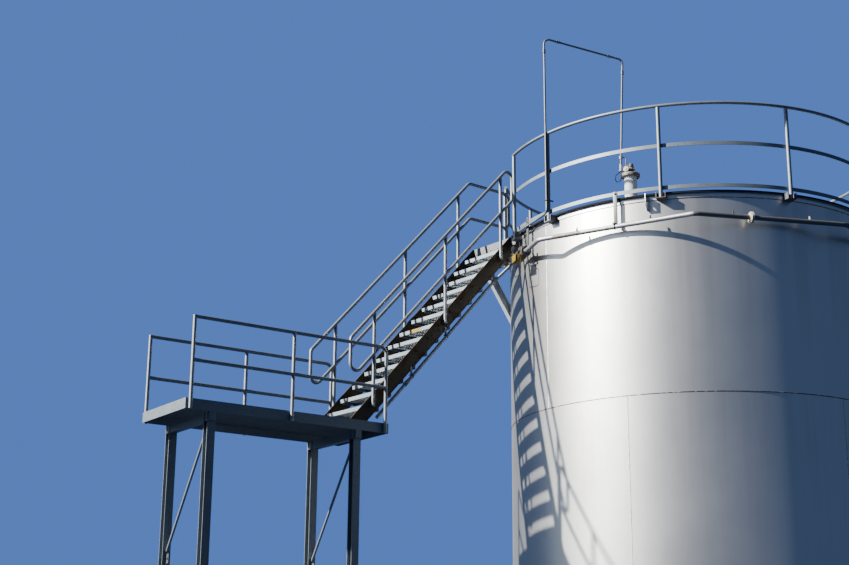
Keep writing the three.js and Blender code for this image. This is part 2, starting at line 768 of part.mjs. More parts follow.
// A disc about the tank axis, in the stair's frame, that trims what meets the tank
function tankDisc(radius, low, high) {
  const disc = turned([[0, low], [radius, low], [radius, high], [0, high]]);
  stair.updateMatrix();
  return disc.applyMatrix4(stair.matrix.clone().invert());
}

function addLanding() {
  const top = TANK_HEIGHT;
  const low = top - LANDING.fascia;
  const front = -GOING;
  const farY = -STRINGER.thickness;
  const nearY = LANDING.nearSide;
  const farEnd = alongToCircle(farY, ROOF.edgeRadius - 40);
  const parts = [
    box(farEnd, front, farY, nearY, top - LANDING.deck, top),
    box(front - LANDING.plate, front, farY, nearY, low, top - 1),
    box(farEnd, front, farY, farY + LANDING.plate, low, top - 1),
    box(farEnd, front, STRUT.side, STRUT.side + LANDING.plate, low, top - 1),
  ];
  const landing = cut(joined(parts), tankDisc(ROOF.edgeRadius + SEAT, low - 100, top + 100));
  addMesh(stair, 'upper_landing', landing, GALVANISED);
}

// A channel that slopes from the shell up to the landing's far front corner
function addLandingStrut() {
  const { side: y, width, depth, plate, headX, footZ } = STRUT;
  const top = TANK_HEIGHT - LANDING.fascia - SEAT;
  const footX = alongToCircle(y, TANK_RADIUS) - 60;
  const slope = (top - footZ) / (headX - alongToCircle(y, TANK_RADIUS));
  const reach = width * Math.hypot(1, slope) / slope;
  const skin = plate * Math.hypot(1, slope) / slope;
  const band = (near, far) => [
    [headX - near, top],
    [headX - far, top],
    [footX, top + slope * (footX - headX + far)],
    [footX, top + slope * (footX - headX + near)],
  ];
  const channel = joined([
    sidePlate(band(0, reach), y, y + plate),
    sidePlate(band(0, skin), y, y + depth),
    sidePlate(band(reach - skin, reach), y, y + depth),
  ]);
  const strut = cut(channel, tankDisc(TANK_RADIUS + SEAT, 0, TANK_HEIGHT));
  addMesh(stair, 'landing_strut', strut, SHELL_PAINT);
}

// The ring's feed, up the outside of the near stringer to the valve
function addSupplyPipe() {
  const y = STAIR_WIDTH + STRINGER.thickness + SUPPLY.radius + SEAT;
  const along = ringDirection(VALVE_AZIMUTH);
  stair.updateMatrixWorld();
  const valveEnd = ringPointPast(VALVE_AZIMUTH, -VALVE_HALF_LENGTH - SEAT);
  const elbow = valveEnd.clone().addScaledVector(along, -SUPPLY.elbow);
  const onStringer = (x) => new THREE.Vector3(x, y, nosing(x) - SUPPLY.below);
  const run = rounded([
    stair.worldToLocal(valveEnd),
    stair.worldToLocal(elbow),
    onStringer(SUPPLY.high),
    onStringer(SUPPLY.low),
  ], 80);
  const near = y - SUPPLY.radius;
  const hangers = SUPPLY_HANGERS.map((x) => {
    const low = nosing(x) - SUPPLY.below - 45;
    return box(x - 15, x + 15, near, near + 6, low, nosing(x) - 200);
  });
  const pipe = joined([tube(run, SUPPLY.radius), ...hangers]);
  addMesh(stair, 'ring_supply_pipe', pipe, GALVANISED);
}

// Walkway bay

const walkway = new THREE.Group();
walkway.position.set(WALK_ORIGIN.x, WALK_ORIGIN.y, 0);
walkway.rotation.z = WALK_DIRECTION * DEG;
tank.add(walkway);

// The near rail is on y = 0 and the posts stand against the outer faces of the frame
function addWalkway() {
  const { depth, plate, bars } = WALK_FRAME;
  const low = WALK_Z - depth;
  const nearOut = -HANDRAIL_RADIUS - SEAT;
  const farOut = -WALK_WIDTH + HANDRAIL_RADIUS + SEAT;
  const parts = [
    box(WALK_START, WALK_END, nearOut - plate, nearOut, low, WALK_Z),
    box(WALK_START, WALK_END, farOut, farOut + plate, low, WALK_Z),
    box(WALK_START, WALK_START + plate, farOut, nearOut, low, WALK_Z),
    box(WALK_END - plate, WALK_END, farOut, nearOut, low, WALK_Z),
  ];
  const spacing = (WALK_END - WALK_START - plate) / (bars + 1);
  for (let i = 1; i <= bars; i += 1) {
    const x = WALK_START + i * spacing;
    parts.push(box(x, x + 5, farOut, nearOut, WALK_Z - 30, WALK_Z));
  }
  addMesh(walkway, 'walkway_deck', joined(parts), GALVANISED);
  addWalkRail('walkway_rail_near', 0, 0);
  addWalkRail('walkway_rail_far', -WALK_WIDTH, WALK_FAR_RAIL_START);
}

// The top rail turns down at the stair to make the first post
function addWalkRail(name, y, start) {
  const end = WALK_POSTS[WALK_POSTS.length - 1];
  const top = WALK_Z + WALK_RAIL_TOP;
  const middle = WALK_Z + WALK_RAIL_MID;
  const low = WALK_Z - WALK_FRAME.depth;
  const run = [[end, top], [start, top], [start, low]];
  const corners = run.map(([x, z]) => new THREE.Vector3(x, y, z));
  const parts = [tube(rounded(corners, HANDRAIL_BEND), HANDRAIL_RADIUS)];
  const middleStart = new THREE.Vector3(start, y, middle);
  parts.push(rod(middleStart, new THREE.Vector3(end, y, middle), HANDRAIL_RADIUS));
  WALK_POSTS.forEach((x) => {
    const foot = new THREE.Vector3(x, y, low);
    parts.push(rod(foot, new THREE.Vector3(x, y, top + 15), HANDRAIL_RADIUS));
  });
  addMesh(walkway, name, joined(parts), GALVANISED);
}

// An H section with its flanges across the walkway
function legProfile(x, y) {
  const { size, web, flange } = LEG;
  const half = size / 2;
  const halfWeb = web / 2;
  const inside = half - flange;
  const quarter = [[half, half], [half, inside], [halfWeb, inside]];
  const outline = [
    ...quarter,
    ...quarter.map(([a, b]) => [a, -b]).reverse(),
    ...quarter.map(([a, b]) => [-a, -b]),
    ...quarter.map(([a, b]) => [-a, b]).reverse(),
  ];
  return outline.map(([a, b]) => new THREE.Vector2(x + a, y + b)).reverse();
}

function addTrestles() {
  const top = WALK_Z - WALK_FRAME.depth - SEAT;
  const half = LEG.base / 2;
  const nearY = -100;
  const farY = -WALK_WIDTH + 100;
  TRESTLES_AT.forEach((x, i) => {
    const parts = [];
    [nearY, farY].forEach((y) => {
      parts.push(extruded(legProfile(x, y), 0, top));
      parts.push(box(x - half, x + half, y - half, y + half, 0, LEG.basePlate));
    });
    const headDepth = 100;
    parts.push(box(x - 40, x + 40, -WALK_WIDTH + 22, -22, top - headDepth, top));
    parts.push(box(x - 4, x + 4, farY, nearY, 1480, 1560));
    parts.push(brace(x, farY, nearY, 300, 1480));
    parts.push(brace(x, nearY, farY, 1560, 3000));
    parts.push(brace(x, farY, nearY, 3000, top - headDepth));
    addMesh(walkway, `walkway_trestle_${i + 1}`, joined(parts), GALVANISED);
  });
}

// A flat bracing bar between the webs of two legs
function brace(x, y0, y1, z0, z1) {
  const start = new THREE.Vector3(x, y0, z0);
  const end = new THREE.Vector3(x, y1, z1);
  return rod(start, end, 16, 6);
}

addBottomPlate();
addShell();
addRoof();
addCurb();
addBranches();
addGuardRail();
addCoolingRing();
addValve();
addGauge();
addConduit();
addGaugeCable();
addTreads();
addStringers();
addHandrails();
addLanding();
addLandingStrut();
addSupplyPipe();
addWalkway();
addTrestles();

export default tank;
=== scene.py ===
import math
from contextlib import contextmanager

import bpy
from bpy.props import FloatProperty, FloatVectorProperty, IntProperty, PointerProperty
from mathutils import Matrix, Vector


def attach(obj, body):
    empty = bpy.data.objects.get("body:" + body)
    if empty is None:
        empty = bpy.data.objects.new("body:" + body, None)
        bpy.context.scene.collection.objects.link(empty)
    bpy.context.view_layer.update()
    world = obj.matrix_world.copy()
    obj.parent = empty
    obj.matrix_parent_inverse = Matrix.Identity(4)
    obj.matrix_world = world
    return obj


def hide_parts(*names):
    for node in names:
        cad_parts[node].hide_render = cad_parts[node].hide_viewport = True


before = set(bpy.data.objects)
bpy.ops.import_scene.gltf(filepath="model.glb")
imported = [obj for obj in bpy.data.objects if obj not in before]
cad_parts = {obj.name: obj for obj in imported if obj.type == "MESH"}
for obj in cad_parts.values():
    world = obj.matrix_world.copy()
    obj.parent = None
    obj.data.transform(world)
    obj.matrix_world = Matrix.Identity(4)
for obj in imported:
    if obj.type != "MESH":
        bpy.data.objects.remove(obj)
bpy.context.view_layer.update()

bl_info = {
    "name": "Vertical Storage Tank",
    "version": (1, 0, 0),
    "blender": (4, 5, 0),
    "location": "View3D > Sidebar > Tank",
    "description": "Dresses a vertical storage tank's frame with plates, rails, pipes and a stair",
    "category": "Object",
}

# Places shared with the solids, in metres and degrees
TANK_RADIUS, TANK_HEIGHT, COURSE_HEIGHT = 2.5, 7.5, 2.5
COURSE_THICKNESS = (0.008, 0.006, 0.006)
COURSE_SEAMS = ((-165, 15), (-120, -57, 91.5), (-148, 35))
SEAT = 0.0003
BOTTOM_RADIUS, BOTTOM_THICKNESS = 2.55, 0.008
ROOF_EDGE, ROOF_RIM, ROOF_THICKNESS, ROOF_SLOPE = 2.54, 2.48, 0.008, 1 / 8
UNDER_ROOF = TANK_HEIGHT - ROOF_THICKNESS - SEAT
CURB_HEIGHT, CURB_THICKNESS, LUG_AZIMUTH, LUG_THICKNESS = 0.07, 0.008, -112.2, 0.010
LUG_CORNERS = ((0.004, -0.014), (0.004, -0.205), (0.030, -0.225), (0.110, -0.140), (0.110, -0.014))

RAIL_TUBE, POST_TUBE, RING_PIPE, CONDUIT = 0.0212, 0.02415, 0.03015, 0.0135
RAIL_RADIUS, RAIL_START, RAIL_END, RAIL_PAST, RAIL_STEP = 2.59, -163.8, 167.1, 0.6, 1.5
POST_AZIMUTHS = (-163.8, -144, -108, -72, -36, 0, 36, 72, 108, 144, 166.5)
TOP_RAIL_Z, MID_RAIL_Z, TOE_BAR_Z = 8.63, 8.107, 7.552
BAR_THICKNESS, BAR_HALF = 0.008, 0.025
BRACKET_WIDTH, BRACKET_PLATE, BRACKET_BELOW, BRACKET_REACH = 0.12, 0.008, 0.082, 2.618

RING_CORNER_RADIUS, RING_BEND, RING_Z = 2.8, 0.15, 7.115
RING_CORNERS = (-188, -143.3, -99.3, -58, -12, 34, 79, 123, 167)
RING_JOINT, RING_END, VALVE_AZIMUTH, VALVE_HALF, VALVE_BODY = -84.4, 154, -155.5, 0.095, 0.046
RING_NOZZLES = [-132.5 + 21.6 * i for i in range(16)]
# Painted highlight: the cooling ring's front run gets brighter zinc on its sunlit side, up to this
# azimuth
PIPE_HIGHLIGHT_TO = -99.3
HANGER_AZIMUTHS = (VALVE_AZIMUTH, -121.1, -30, 9, 53, 94, 136)

GAUGE = Vector((-0.992, -1.320, 8.120))
CONDUIT_TURN, CONDUIT_BEND = -138, 0.070
CABLE_RADIUS, CABLE_BEND = 0.005, 0.040
# Azimuth, height, radii of pipe and flange, reach, plate, number of bolts and their size
BRANCHES = {
    "shell_manway": (-27, 0.75, 0.305, 0.365, 0.230, 0.024, 24, 0.020),
    "outlet_nozzle": (9, 0.30, 0.084, 0.142, 0.220, 0.022, 8, 0.016),
}

RISE, GOING, STAIR_WIDTH, TREADS = 0.2019, 0.186, 0.753, 13
STRINGER_THICKNESS = 0.012
NEAR_POSTS, FAR_POSTS = (0.020, 0.980, 2.105), (0.080, 1.000, 2.110)
SUPPLY_BELOW, SUPPLY_BEND, SUPPLY_HANGERS = 0.330, 0.080, (0.960, 1.510)
LANDING_RAIL_Z, LANDING_MID_Z, LANDING_RAIL_X, LANDING_POST_X = 8.48, 7.964, -0.870, -0.800
LANDING_FASCIA, LANDING_NEAR = 0.12, 0.85
STAIR_TURN = math.radians(-141.34)
STAIR = Matrix.Translation((-3.150, -0.097, 0)) @ Matrix.Rotation(STAIR_TURN, 4, "Z")

WALK_Z = TANK_HEIGHT - 14 * RISE
WALK_START, WALK_END, WALK_WIDTH, WALK_DEPTH = -0.06, 2.62, 1.19, 0.12
WALK_POSTS, WALK_TOP, WALK_MIDDLE = (1.285, 2.570), 0.93, 0.43
TRESTLES_AT, TRESTLE_TIE = (0.36, 2.28), (1.48, 1.56)
WALK_TURN = math.radians(-145.4)
WALK = Matrix.Translation((-4.153, -2.017, 0)) @ Matrix.Rotation(WALK_TURN, 4, "Z")

# Fine detail of the pieces, with profiles as radius and height
EDGE, PLATE_EDGE, DRIP_HEIGHT, STREAK_STRETCH = 0.0015, 0.001, 0.021, 22
GAUGE_FLANGE, GAUGE_DRUM = 0.020, ((0.064, 0.020), (0.060, 0.024), (0.060, 0.052), (0.056, 0.056))
GAUGE_NECK = ((0.056, 0.064), (0.060, 0.068), (0.060, 0.090), (0.052, 0.104), (0.044, 0.106))
GAUGE_COLLAR = ((0.044, 0.118), (0.047, 0.120), (0.047, 0.132), (0.044, 0.134))
GAUGE_CAP = ((0.044, 0.152), (0.036, 0.166), (0, 0.168))
BOX_WALL = ((0, 0), (0.034, 0), (0.034, 0.040), (0.038, 0.042), (0.038, 0.054), (0.034, 0.058))
STAND, QUARTER = Matrix.Rotation(math.pi / 2, 4, "X"), Matrix.Rotation(math.pi / 2, 4, "Z")

CAMERA_AT, CAMERA_LENS, CAMERA_TILT, CAMERA_ROLL = (-3.694, -19.055, 1.531), 60.72, 16.062, 0.467
SUN_FROM, SUN_STRENGTH, HAZE_STRENGTH = (-0.832, -0.207, 0.515), 24.5, 1.2
BACKDROP, SKY_LIGHT = (0.088, 0.198, 0.60, 1), (0.070, 0.116, 0.235, 1)


# What a user would change


def measure(name, description, default):
    return FloatProperty(name=name, description=description, default=default, unit="LENGTH")


def tint(name, description, *default):
    return FloatVectorProperty(name=name, description=description, default=default, subtype="COLOR")


class TankSizes(bpy.types.PropertyGroup):
    """Sizes of the plates, tubes and bolts that dress the tank"""

    plate_step: FloatProperty(
        name="Plate step",
        description="Angle between two edges of a rolled plate",
        default=math.radians(1),
        subtype="ANGLE",
    )
    weld_width: measure("Weld width", "Half width of the welds on the shell", 0.008)
    rail_tube: measure("Rail tube", "Radius of the rails' tubes", RAIL_TUBE)
    post_tube: measure("Post tube", "Radius of the posts on the roof's edge", POST_TUBE)
    ring_pipe: measure("Ring pipe", "Radius of the cooling ring's pipe", RING_PIPE)
    conduit: measure("Conduit", "Radius of the gauge's conduit", CONDUIT)
    grating_pitch: measure("Grating pitch", "Distance between the gratings' bearing bars", 0.030)
    rail_bend: measure("Rail bend", "Radius of the bends in the handrails", 0.084)
    tube_sides: IntProperty(
        name="Tube sides", description="Sides of a round tube's section", default=20, min=8
    )


class TankFinishes(bpy.types.PropertyGroup):
    """Colours of the tank's paints and metals"""

    paint: tint("Shell paint", "Silver paint of the shell and the roof", 0.56, 0.57, 0.57)
    zinc: tint("Zinc", "Weathered galvanised steel", 0.102, 0.122, 0.140)
    old_zinc: tint("Old zinc", "Dark, dull steel of the stair's rails", 0.125, 0.142, 0.160)
    dull_zinc: tint("Dull zinc", "Blue-grey steel of the treads", 0.124, 0.149, 0.168)
    # Painted highlight: brighter, more metallic zinc for the sunlit side of the cooling ring's
    # front run
    pale_zinc: tint("Pale zinc", "Bright steel of the cooling ring's front", 0.27, 0.28, 0.285)
    worn_zinc: tint("Worn zinc", "Dull steel of the landing and the hangers", 0.071, 0.076, 0.080)
    dark_zinc: tint("Dark zinc", "Sooty galvanised steel of the valve", 0.055, 0.058, 0.062)
    stringer: tint("Stringer", "Dark steel of the stringers", 0.036, 0.028, 0.015)
    rust: tint("Rust", "Rust on welds and plates", 0.20, 0.075, 0.028)
    housing: tint("Housing", "Paint of the gauge's head", 0.130, 0.130, 0.115)
    mustard: tint("Mustard", "Paint of the valve's actuator", 0.145, 0.092, 0.008)
    black: tint("Black paint", "Paint of the roof's edge", 0.007, 0.007, 0.008)
    grey: tint("Grey paint", "Dull paint of the gauge's nozzle", 0.30, 0.34, 0.38)
    cream: tint("Cream", "Pale paint of the gauge's fittings", 0.27, 0.255, 0.21)
    band: tint("Band", "Blue paint of the band round the gauge's head", 0.030, 0.065, 0.24)
    safety: tint("Safety yellow", "Paint on the edge of one tread", 0.18, 0.105, 0.005)
    cable: tint("Cable", "Jacket of the cables", 0.012, 0.012, 0.014)


# Shader node groups


def new_group(name, inputs, outputs):
    """A shader node group with number sockets: what it is given, and what it makes."""
    group = bpy.data.node_groups.new(name, "ShaderNodeTree")
    number = {"socket_type": "NodeSocketFloat"}
    for label, value in inputs.items():
        group.interface.new_socket(name=label, in_out="INPUT", **number).default_value = value
    for label in outputs:
        group.interface.new_socket(name=label, in_out="OUTPUT", **number)
    given = group.nodes.new("NodeGroupInput").outputs
    return group, given, group.nodes.new("NodeGroupOutput").inputs


def fill(tree, socket, value):
    """Links a socket to another socket, or sets its value."""
    if isinstance(value, bpy.types.NodeSocket):
        tree.links.new(value, socket)
    else:
        socket.default_value = value


def add_node(tree, kind, sockets=None, **values):
    """A node with settings given as names, and sockets given as links or values."""
    node = tree.nodes.new(kind)
    for key, value in values.items():
        setattr(node, key, value)
    for key, value in (sockets or {}).items():
        fill(tree, node.inputs[key], value)
    return node


def calculated(tree, operation, first, second):
    """What a math node makes of two numbers."""
    return add_node(tree, "ShaderNodeMath", {0: first, 1: second}, operation=operation).outputs[0]


def object_place(tree):
    return add_node(tree, "ShaderNodeTexCoord").outputs["Object"]


def noise(tree, place, scale, detail, roughness=0.5):
    sockets = {"Vector": place, "Scale": scale, "Detail": detail, "Roughness": roughness}
    return add_node(tree, "ShaderNodeTexNoise", sockets).outputs["Fac"]


def cut_at(tree, value, level, width):
    """A soft step of a value at a level, one on the upper side."""
    low, high = (calculated(tree, way, level, width) for way in ("SUBTRACT", "ADD"))
    sockets = {"Value": value, "From Min": low, "From Max": high}
    step = add_node(tree, "ShaderNodeMapRange", sockets, interpolation_type="SMOOTHSTEP")
    return step.outputs["Result"]


def rain_streaks_group():
    """Streaks that run down from a height and fade over a reach."""
    inputs = {"Scale": 9.0, "Top": 7.4, "Reach": 2.0, "Level": 0.5}
    group, given, made = new_group("rain_streaks", inputs, ["Mask"])
    place, top = object_place(group), given["Top"]
    sockets = {0: place, 1: (1, 1, 1 / STREAK_STRETCH)}
    drawn = add_node(group, "ShaderNodeVectorMath", sockets, operation="MULTIPLY").outputs[0]
    streaks = cut_at(group, noise(group, drawn, given["Scale"], 4.0), given["Level"], 0.12)
    height = add_node(group, "ShaderNodeSeparateXYZ", {0: place}).outputs["Z"]
    bottom = calculated(group, "SUBTRACT", top, given["Reach"])
    sockets = {"Value": height, "From Min": bottom, "From Max": top}
    fade = add_node(group, "ShaderNodeMapRange", sockets).outputs["Result"]
    held = calculated(group, "MULTIPLY", fade, calculated(group, "LESS_THAN", height, top))
    group.links.new(calculated(group, "MULTIPLY", streaks, held), made["Mask"])
    return group


def rust_patches_group():
    """Patches with ragged edges."""
    inputs = {"Scale": 6.0, "Level": 0.58}
    group, given, made = new_group("rust_patches", inputs, ["Mask", "Height"])
    place = object_place(group)
    mask = cut_at(group, noise(group, place, given["Scale"], 9.0, 0.65), given["Level"], 0.05)
    height = calculated(group, "MULTIPLY", mask, noise(group, place, 260.0, 3.0))
    group.links.new(mask, made["Mask"])
    group.links.new(height, made["Height"])
    return group


def zinc_spangle_group():
    """The crystal pattern and the dull bloom of galvanised steel."""
    inputs = {"Scale": 55.0, "Bloom": 5.0}
    group, given, made = new_group("zinc_spangle", inputs, ["Tone", "Bloom", "Height"])
    place = object_place(group)
    cells = add_node(group, "ShaderNodeTexVoronoi", {"Vector": place, "Scale": given["Scale"]})
    tone = add_node(group, "ShaderNodeSeparateColor", {0: cells.outputs["Color"]}).outputs[0]
    bloom = noise(group, place, given["Bloom"], 6.0, 0.6)
    grain = noise(group, place, 400.0, 2.0)
    for value, name in ((tone, "Tone"), (bloom, "Bloom"), (grain, "Height")):
        group.links.new(value, made[name])
    return group


GROUP_MAKERS = {
    "rain_streaks": rain_streaks_group,
    "rust_patches": rust_patches_group,
    "zinc_spangle": zinc_spangle_group,
}


def use_group(tree, name, **values):
    """The outputs of a shared group that is placed in a material with its own values."""
    group = bpy.data.node_groups.get(name) or GROUP_MAKERS[name]()
    sockets = {key.capitalize(): value for key, value in values.items()}
    return add_node(tree, "ShaderNodeGroup", node_tree=group, sockets=sockets).outputs


# Materials


def new_material(name, roughness, metallic, specular=0.5):
    """A material, its tree and its shader's sockets, with those set that stay constant."""
    material = bpy.data.materials.new("tank_" + name)
    material.use_nodes = True
    tree = material.node_tree
    shader = tree.nodes["Principled BSDF"].inputs
    shader["Roughness"].default_value = roughness
    shader["Metallic"].default_value = metallic
    shader["Specular IOR Level"].default_value = specular
    return material, tree, shader


def rgba(colour, factor=1.0):
    return (*[channel * factor for channel in colour], 1.0)


def mix(tree, mask, first, second):
    """Mixes two colours or numbers by a mask."""
    if all(isinstance(value, float) for value in (first, second)):
        sockets = {"Value": mask, "To Min": first, "To Max": second}
        return add_node(tree, "ShaderNodeMapRange", sockets).outputs["Result"]
    sockets = {0: mask, 6: first, 7: second}
    return add_node(tree, "ShaderNodeMix", data_type="RGBA", sockets=sockets).outputs[2]


def scaled(tree, value, factor):
    return calculated(tree, "MULTIPLY", value, factor)


def feed(tree, shader, colour, roughness=None, height=None, strength=0.0, distance=0.0):
    """Links a shader's colour and roughness, and its normal to a bump of a height."""
    tree.links.new(colour, shader["Base Color"])
    if roughness:
        tree.links.new(roughness, shader["Roughness"])
    if height:
        sockets = {"Height": height, "Strength": strength, "Distance": distance}
        bump = add_node(tree, "ShaderNodeBump", sockets)
        tree.links.new(bump.outputs["Normal"], shader["Normal"])


def shell_paint_material(name, finishes):
    material, tree, shader = new_material(name, 0.44, 0.97)
    upper = use_group(tree, "rain_streaks", scale=7.0, top=7.43, reach=2.6, level=0.52)["Mask"]
    lower = use_group(tree, "rain_streaks", scale=11.0, top=4.99, reach=3.0, level=0.55)["Mask"]
    cloud = use_group(tree, "zinc_spangle", scale=30.0, bloom=1.1)["Bloom"]
    colour = mix(tree, cloud, rgba(finishes.paint, 0.90), rgba(finishes.paint))
    colour = mix(tree, scaled(tree, upper, 0.28), colour, (0.33, 0.32, 0.30, 1))
    colour = mix(tree, scaled(tree, lower, 0.12), colour, (0.30, 0.28, 0.25, 1))
    roughness = mix(tree, cloud, 0.33, 0.39)
    feed(tree, shader, colour, roughness, cloud, strength=0.18, distance=0.010)
    return material


def weld_material(name, finishes, rusty, level):
    material, tree, shader = new_material(name, 0.5, 0.95)
    patches = use_group(tree, "rust_patches", scale=14.0, level=level)
    rust = scaled(tree, patches["Mask"], rusty)
    colour = mix(tree, rust, rgba(finishes.paint, 0.70), rgba(finishes.rust, 0.35))
    feed(tree, shader, colour, height=patches["Height"], strength=0.3, distance=0.002)
    return material


def zinc_material(name, finishes, colour_name, dirt, level, metallic=0.6):
    material, tree, shader = new_material(name, 0.5, metallic)
    zinc = getattr(finishes, colour_name)
    spangle = use_group(tree, "zinc_spangle")
    patches = use_group(tree, "rust_patches", scale=4.0, level=level)
    rust = scaled(tree, patches["Mask"], dirt)
    colour = mix(tree, spangle["Tone"], rgba(zinc, 0.85), rgba(zinc, 1.2))
    colour = mix(tree, scaled(tree, spangle["Bloom"], 0.8), colour, rgba(zinc, 1.25))
    colour = mix(tree, rust, colour, rgba(finishes.rust, 0.22))
    tree.links.new(mix(tree, rust, metallic, 0.0), shader["Metallic"])
    roughness = mix(tree, spangle["Bloom"], 0.42, 0.62)
    feed(tree, shader, colour, roughness, spangle["Height"], strength=0.2, distance=0.001)
    return material


def rusty_steel_material(name, finishes):
    material, tree, shader = new_material(name, 0.8, 0.0, 0.25)
    patches = use_group(tree, "rust_patches", scale=5.0, level=0.55)
    rust = scaled(tree, patches["Mask"], 0.6)
    colour = mix(tree, rust, rgba(finishes.stringer), rgba(finishes.rust, 0.22))
    # Painted shade: streaks darken the steel from 7.6 m down over 1.1 m, standing in for the shade
    # at the stringers' upper ends under the landing
    top_shade = use_group(tree, "rain_streaks", scale=9.0, top=7.6, reach=1.1, level=0.30)["Mask"]
    colour = mix(tree, scaled(tree, top_shade, 0.9), colour, rgba(finishes.stringer, 0.2))
    roughness = mix(tree, patches["Mask"], 0.72, 0.90)
    feed(tree, shader, colour, roughness, patches["Height"], strength=0.5, distance=0.003)
    return material


def painted_material(name, finishes, colour_name, roughness, specular=0.3):
    material, tree, shader = new_material(name, roughness, 0.0, specular)
    dust = use_group(tree, "rust_patches", scale=30.0, level=0.66)["Mask"]
    paint = rgba(getattr(finishes, colour_name))
    colour = mix(tree, scaled(tree, dust, 0.5), paint, rgba(finishes.rust, 0.25))
    grain = use_group(tree, "zinc_spangle", scale=90.0, bloom=20.0)
    roughness = mix(tree, grain["Bloom"], roughness - 0.08, roughness + 0.12)
    feed(tree, shader, colour, roughness, grain["Height"], strength=0.25, distance=0.0015)
    return material


def cable_material(name, finishes):
    material, tree, shader = new_material(name, 0.6, 0.0, 0.1)
    grain = use_group(tree, "zinc_spangle", scale=120.0, bloom=25.0)["Bloom"]
    colour = mix(tree, grain, rgba(finishes.cable, 0.8), rgba(finishes.cable, 1.6))
    feed(tree, shader, colour, mix(tree, grain, 0.5, 0.75))
    return material


def floor_material(name, finishes):
    material, _, shader = new_material(name, 0.9, 0.0)
    shader["Base Color"].default_value = (0.62, 0.63, 0.64, 1)
    return material


# Each finish's slot in the record, the function that makes it, and that function's values
LOOKS = {
    "shell_paint": ("shell_paint", shell_paint_material),
    "weld": ("shell_paint", weld_material, 0.35, 0.52),
    "old_weld": ("shell_paint", weld_material, 0.95, 0.43),
    "zinc": ("galvanised", zinc_material, "zinc", 0.30, 0.66),
    "old_zinc": ("galvanised", zinc_material, "old_zinc", 0.35, 0.60),
    "dull_zinc": ("galvanised", zinc_material, "dull_zinc", 0.5, 0.62),
    "dirty_zinc": ("galvanised", zinc_material, "zinc", 0.7, 0.56),
    "rusty_zinc": ("galvanised", zinc_material, "zinc", 0.85, 0.47),
    # Painted highlight: the sunlit side of the cooling ring's front run
    "pale_zinc": ("galvanised", zinc_material, "pale_zinc", 0.7, 0.58, 0.95),
    "worn_zinc": ("galvanised", zinc_material, "worn_zinc", 0.5, 0.60),
    "dark_zinc": ("galvanised", zinc_material, "dark_zinc", 0.5, 0.52),
    "rusty_steel": ("rusty_steel", rusty_steel_material),
    "black_paint": ("shell_paint", painted_material, "black", 0.85, 0.1),
    "grey_paint": ("shell_paint", painted_material, "grey", 0.55),
    "housing_paint": ("dark_housing", painted_material, "housing", 0.4),
    "cream_paint": ("dark_housing", painted_material, "cream", 0.5),
    "blue_paint": ("dark_housing", painted_material, "band", 0.4),
    "mustard_paint": ("mustard_paint", painted_material, "mustard", 0.42),
    "yellow_paint": ("mustard_paint", painted_material, "safety", 0.5),
    "cable_jacket": ("black_cable", cable_material),
    "pale_floor": (None, floor_material),
}


def material_named(name):
    """The finish with this name, made when it is first asked for."""
    _, maker, *values = LOOKS[name]
    ready = bpy.data.materials.get("tank_" + name)
    return ready or maker(name, bpy.context.scene.tank_finishes, *values)


# Modelling


def start_clean():
    """Leaves edit mode and deselects everything."""
    if bpy.context.object and bpy.context.mode != "OBJECT":
        bpy.ops.object.mode_set(mode="OBJECT")
    bpy.ops.object.select_all(action="DESELECT")


def choose(*pieces):
    start_clean()
    for piece in pieces:
        piece.select_set(True)
    bpy.context.view_layer.objects.active = pieces[0]


def place(piece, matrix):
    """Moves a piece, and puts its new place into its mesh."""
    choose(piece)
    piece.matrix_world = matrix @ piece.matrix_world
    bpy.ops.object.transform_apply(location=True, rotation=True, scale=True)
    return piece


def shifted(x, y, z):
    return Matrix.Translation((x, y, z))


@contextmanager
def editing(piece):
    """Edit mode with all of a piece selected; in the end its faces point outwards."""
    choose(piece)
    bpy.ops.object.mode_set(mode="EDIT")
    bpy.ops.mesh.select_all(action="SELECT")
    yield
    bpy.ops.mesh.select_all(action="SELECT")
    bpy.ops.mesh.normals_make_consistent(inside=False)
    bpy.ops.object.mode_set(mode="OBJECT")


def modified(piece, kind, **settings):
    """A piece with a modifier's result in its mesh."""
    choose(piece)
    modifier = piece.modifiers.new(kind.lower(), kind)
    for key, value in settings.items():
        setattr(modifier, key, value)
    bpy.ops.object.modifier_apply(modifier=modifier.name)
    return piece


def soften(piece, width, segments=2):
    """Breaks a piece's sharp edges."""
    angle = math.radians(40)
    return modified(
        piece, "BEVEL", width=width, segments=segments, limit_method="ANGLE", angle_limit=angle
    )


def smooth(piece, degrees=35):
    choose(piece)
    bpy.ops.object.shade_smooth_by_angle(angle=math.radians(degrees))
    return piece


def primitive(kind, **values):
    """One of Blender's basic meshes, with its place in the mesh."""
    start_clean()
    getattr(bpy.ops.mesh, f"primitive_{kind}_add")(**values)
    bpy.ops.object.transform_apply(location=True, rotation=True, scale=True)
    return bpy.context.object


def block(x0, x1, y0, y1, z0, z1, edge=PLATE_EDGE):
    """A block between two corners, with its edges broken."""
    middle = ((x0 + x1) / 2, (y0 + y1) / 2, (z0 + z1) / 2)
    piece = primitive("cube", size=1, location=middle, scale=(x1 - x0, y1 - y0, z1 - z0))
    return soften(piece, edge) if edge else piece


def rod(start, end, radius, sides=20, edge=0.0):
    """A round bar between two points."""
    start, end = Vector(start), Vector(end)
    along = end - start
    turn = along.to_track_quat("Z", "Y").to_euler()
    values = {"vertices": sides, "radius": radius, "depth": along.length}
    piece = primitive("cylinder", location=(start + end) / 2, rotation=turn, **values)
    return smooth(soften(piece, edge) if edge else piece)


def ring_bead(location, radius, half_width, steps=360):
    """A weld that runs in a ring about Z."""
    segments = {"major_segments": steps, "minor_segments": 8}
    radii = {"major_radius": radius, "minor_radius": half_width}
    return primitive("torus", location=location, **segments, **radii)


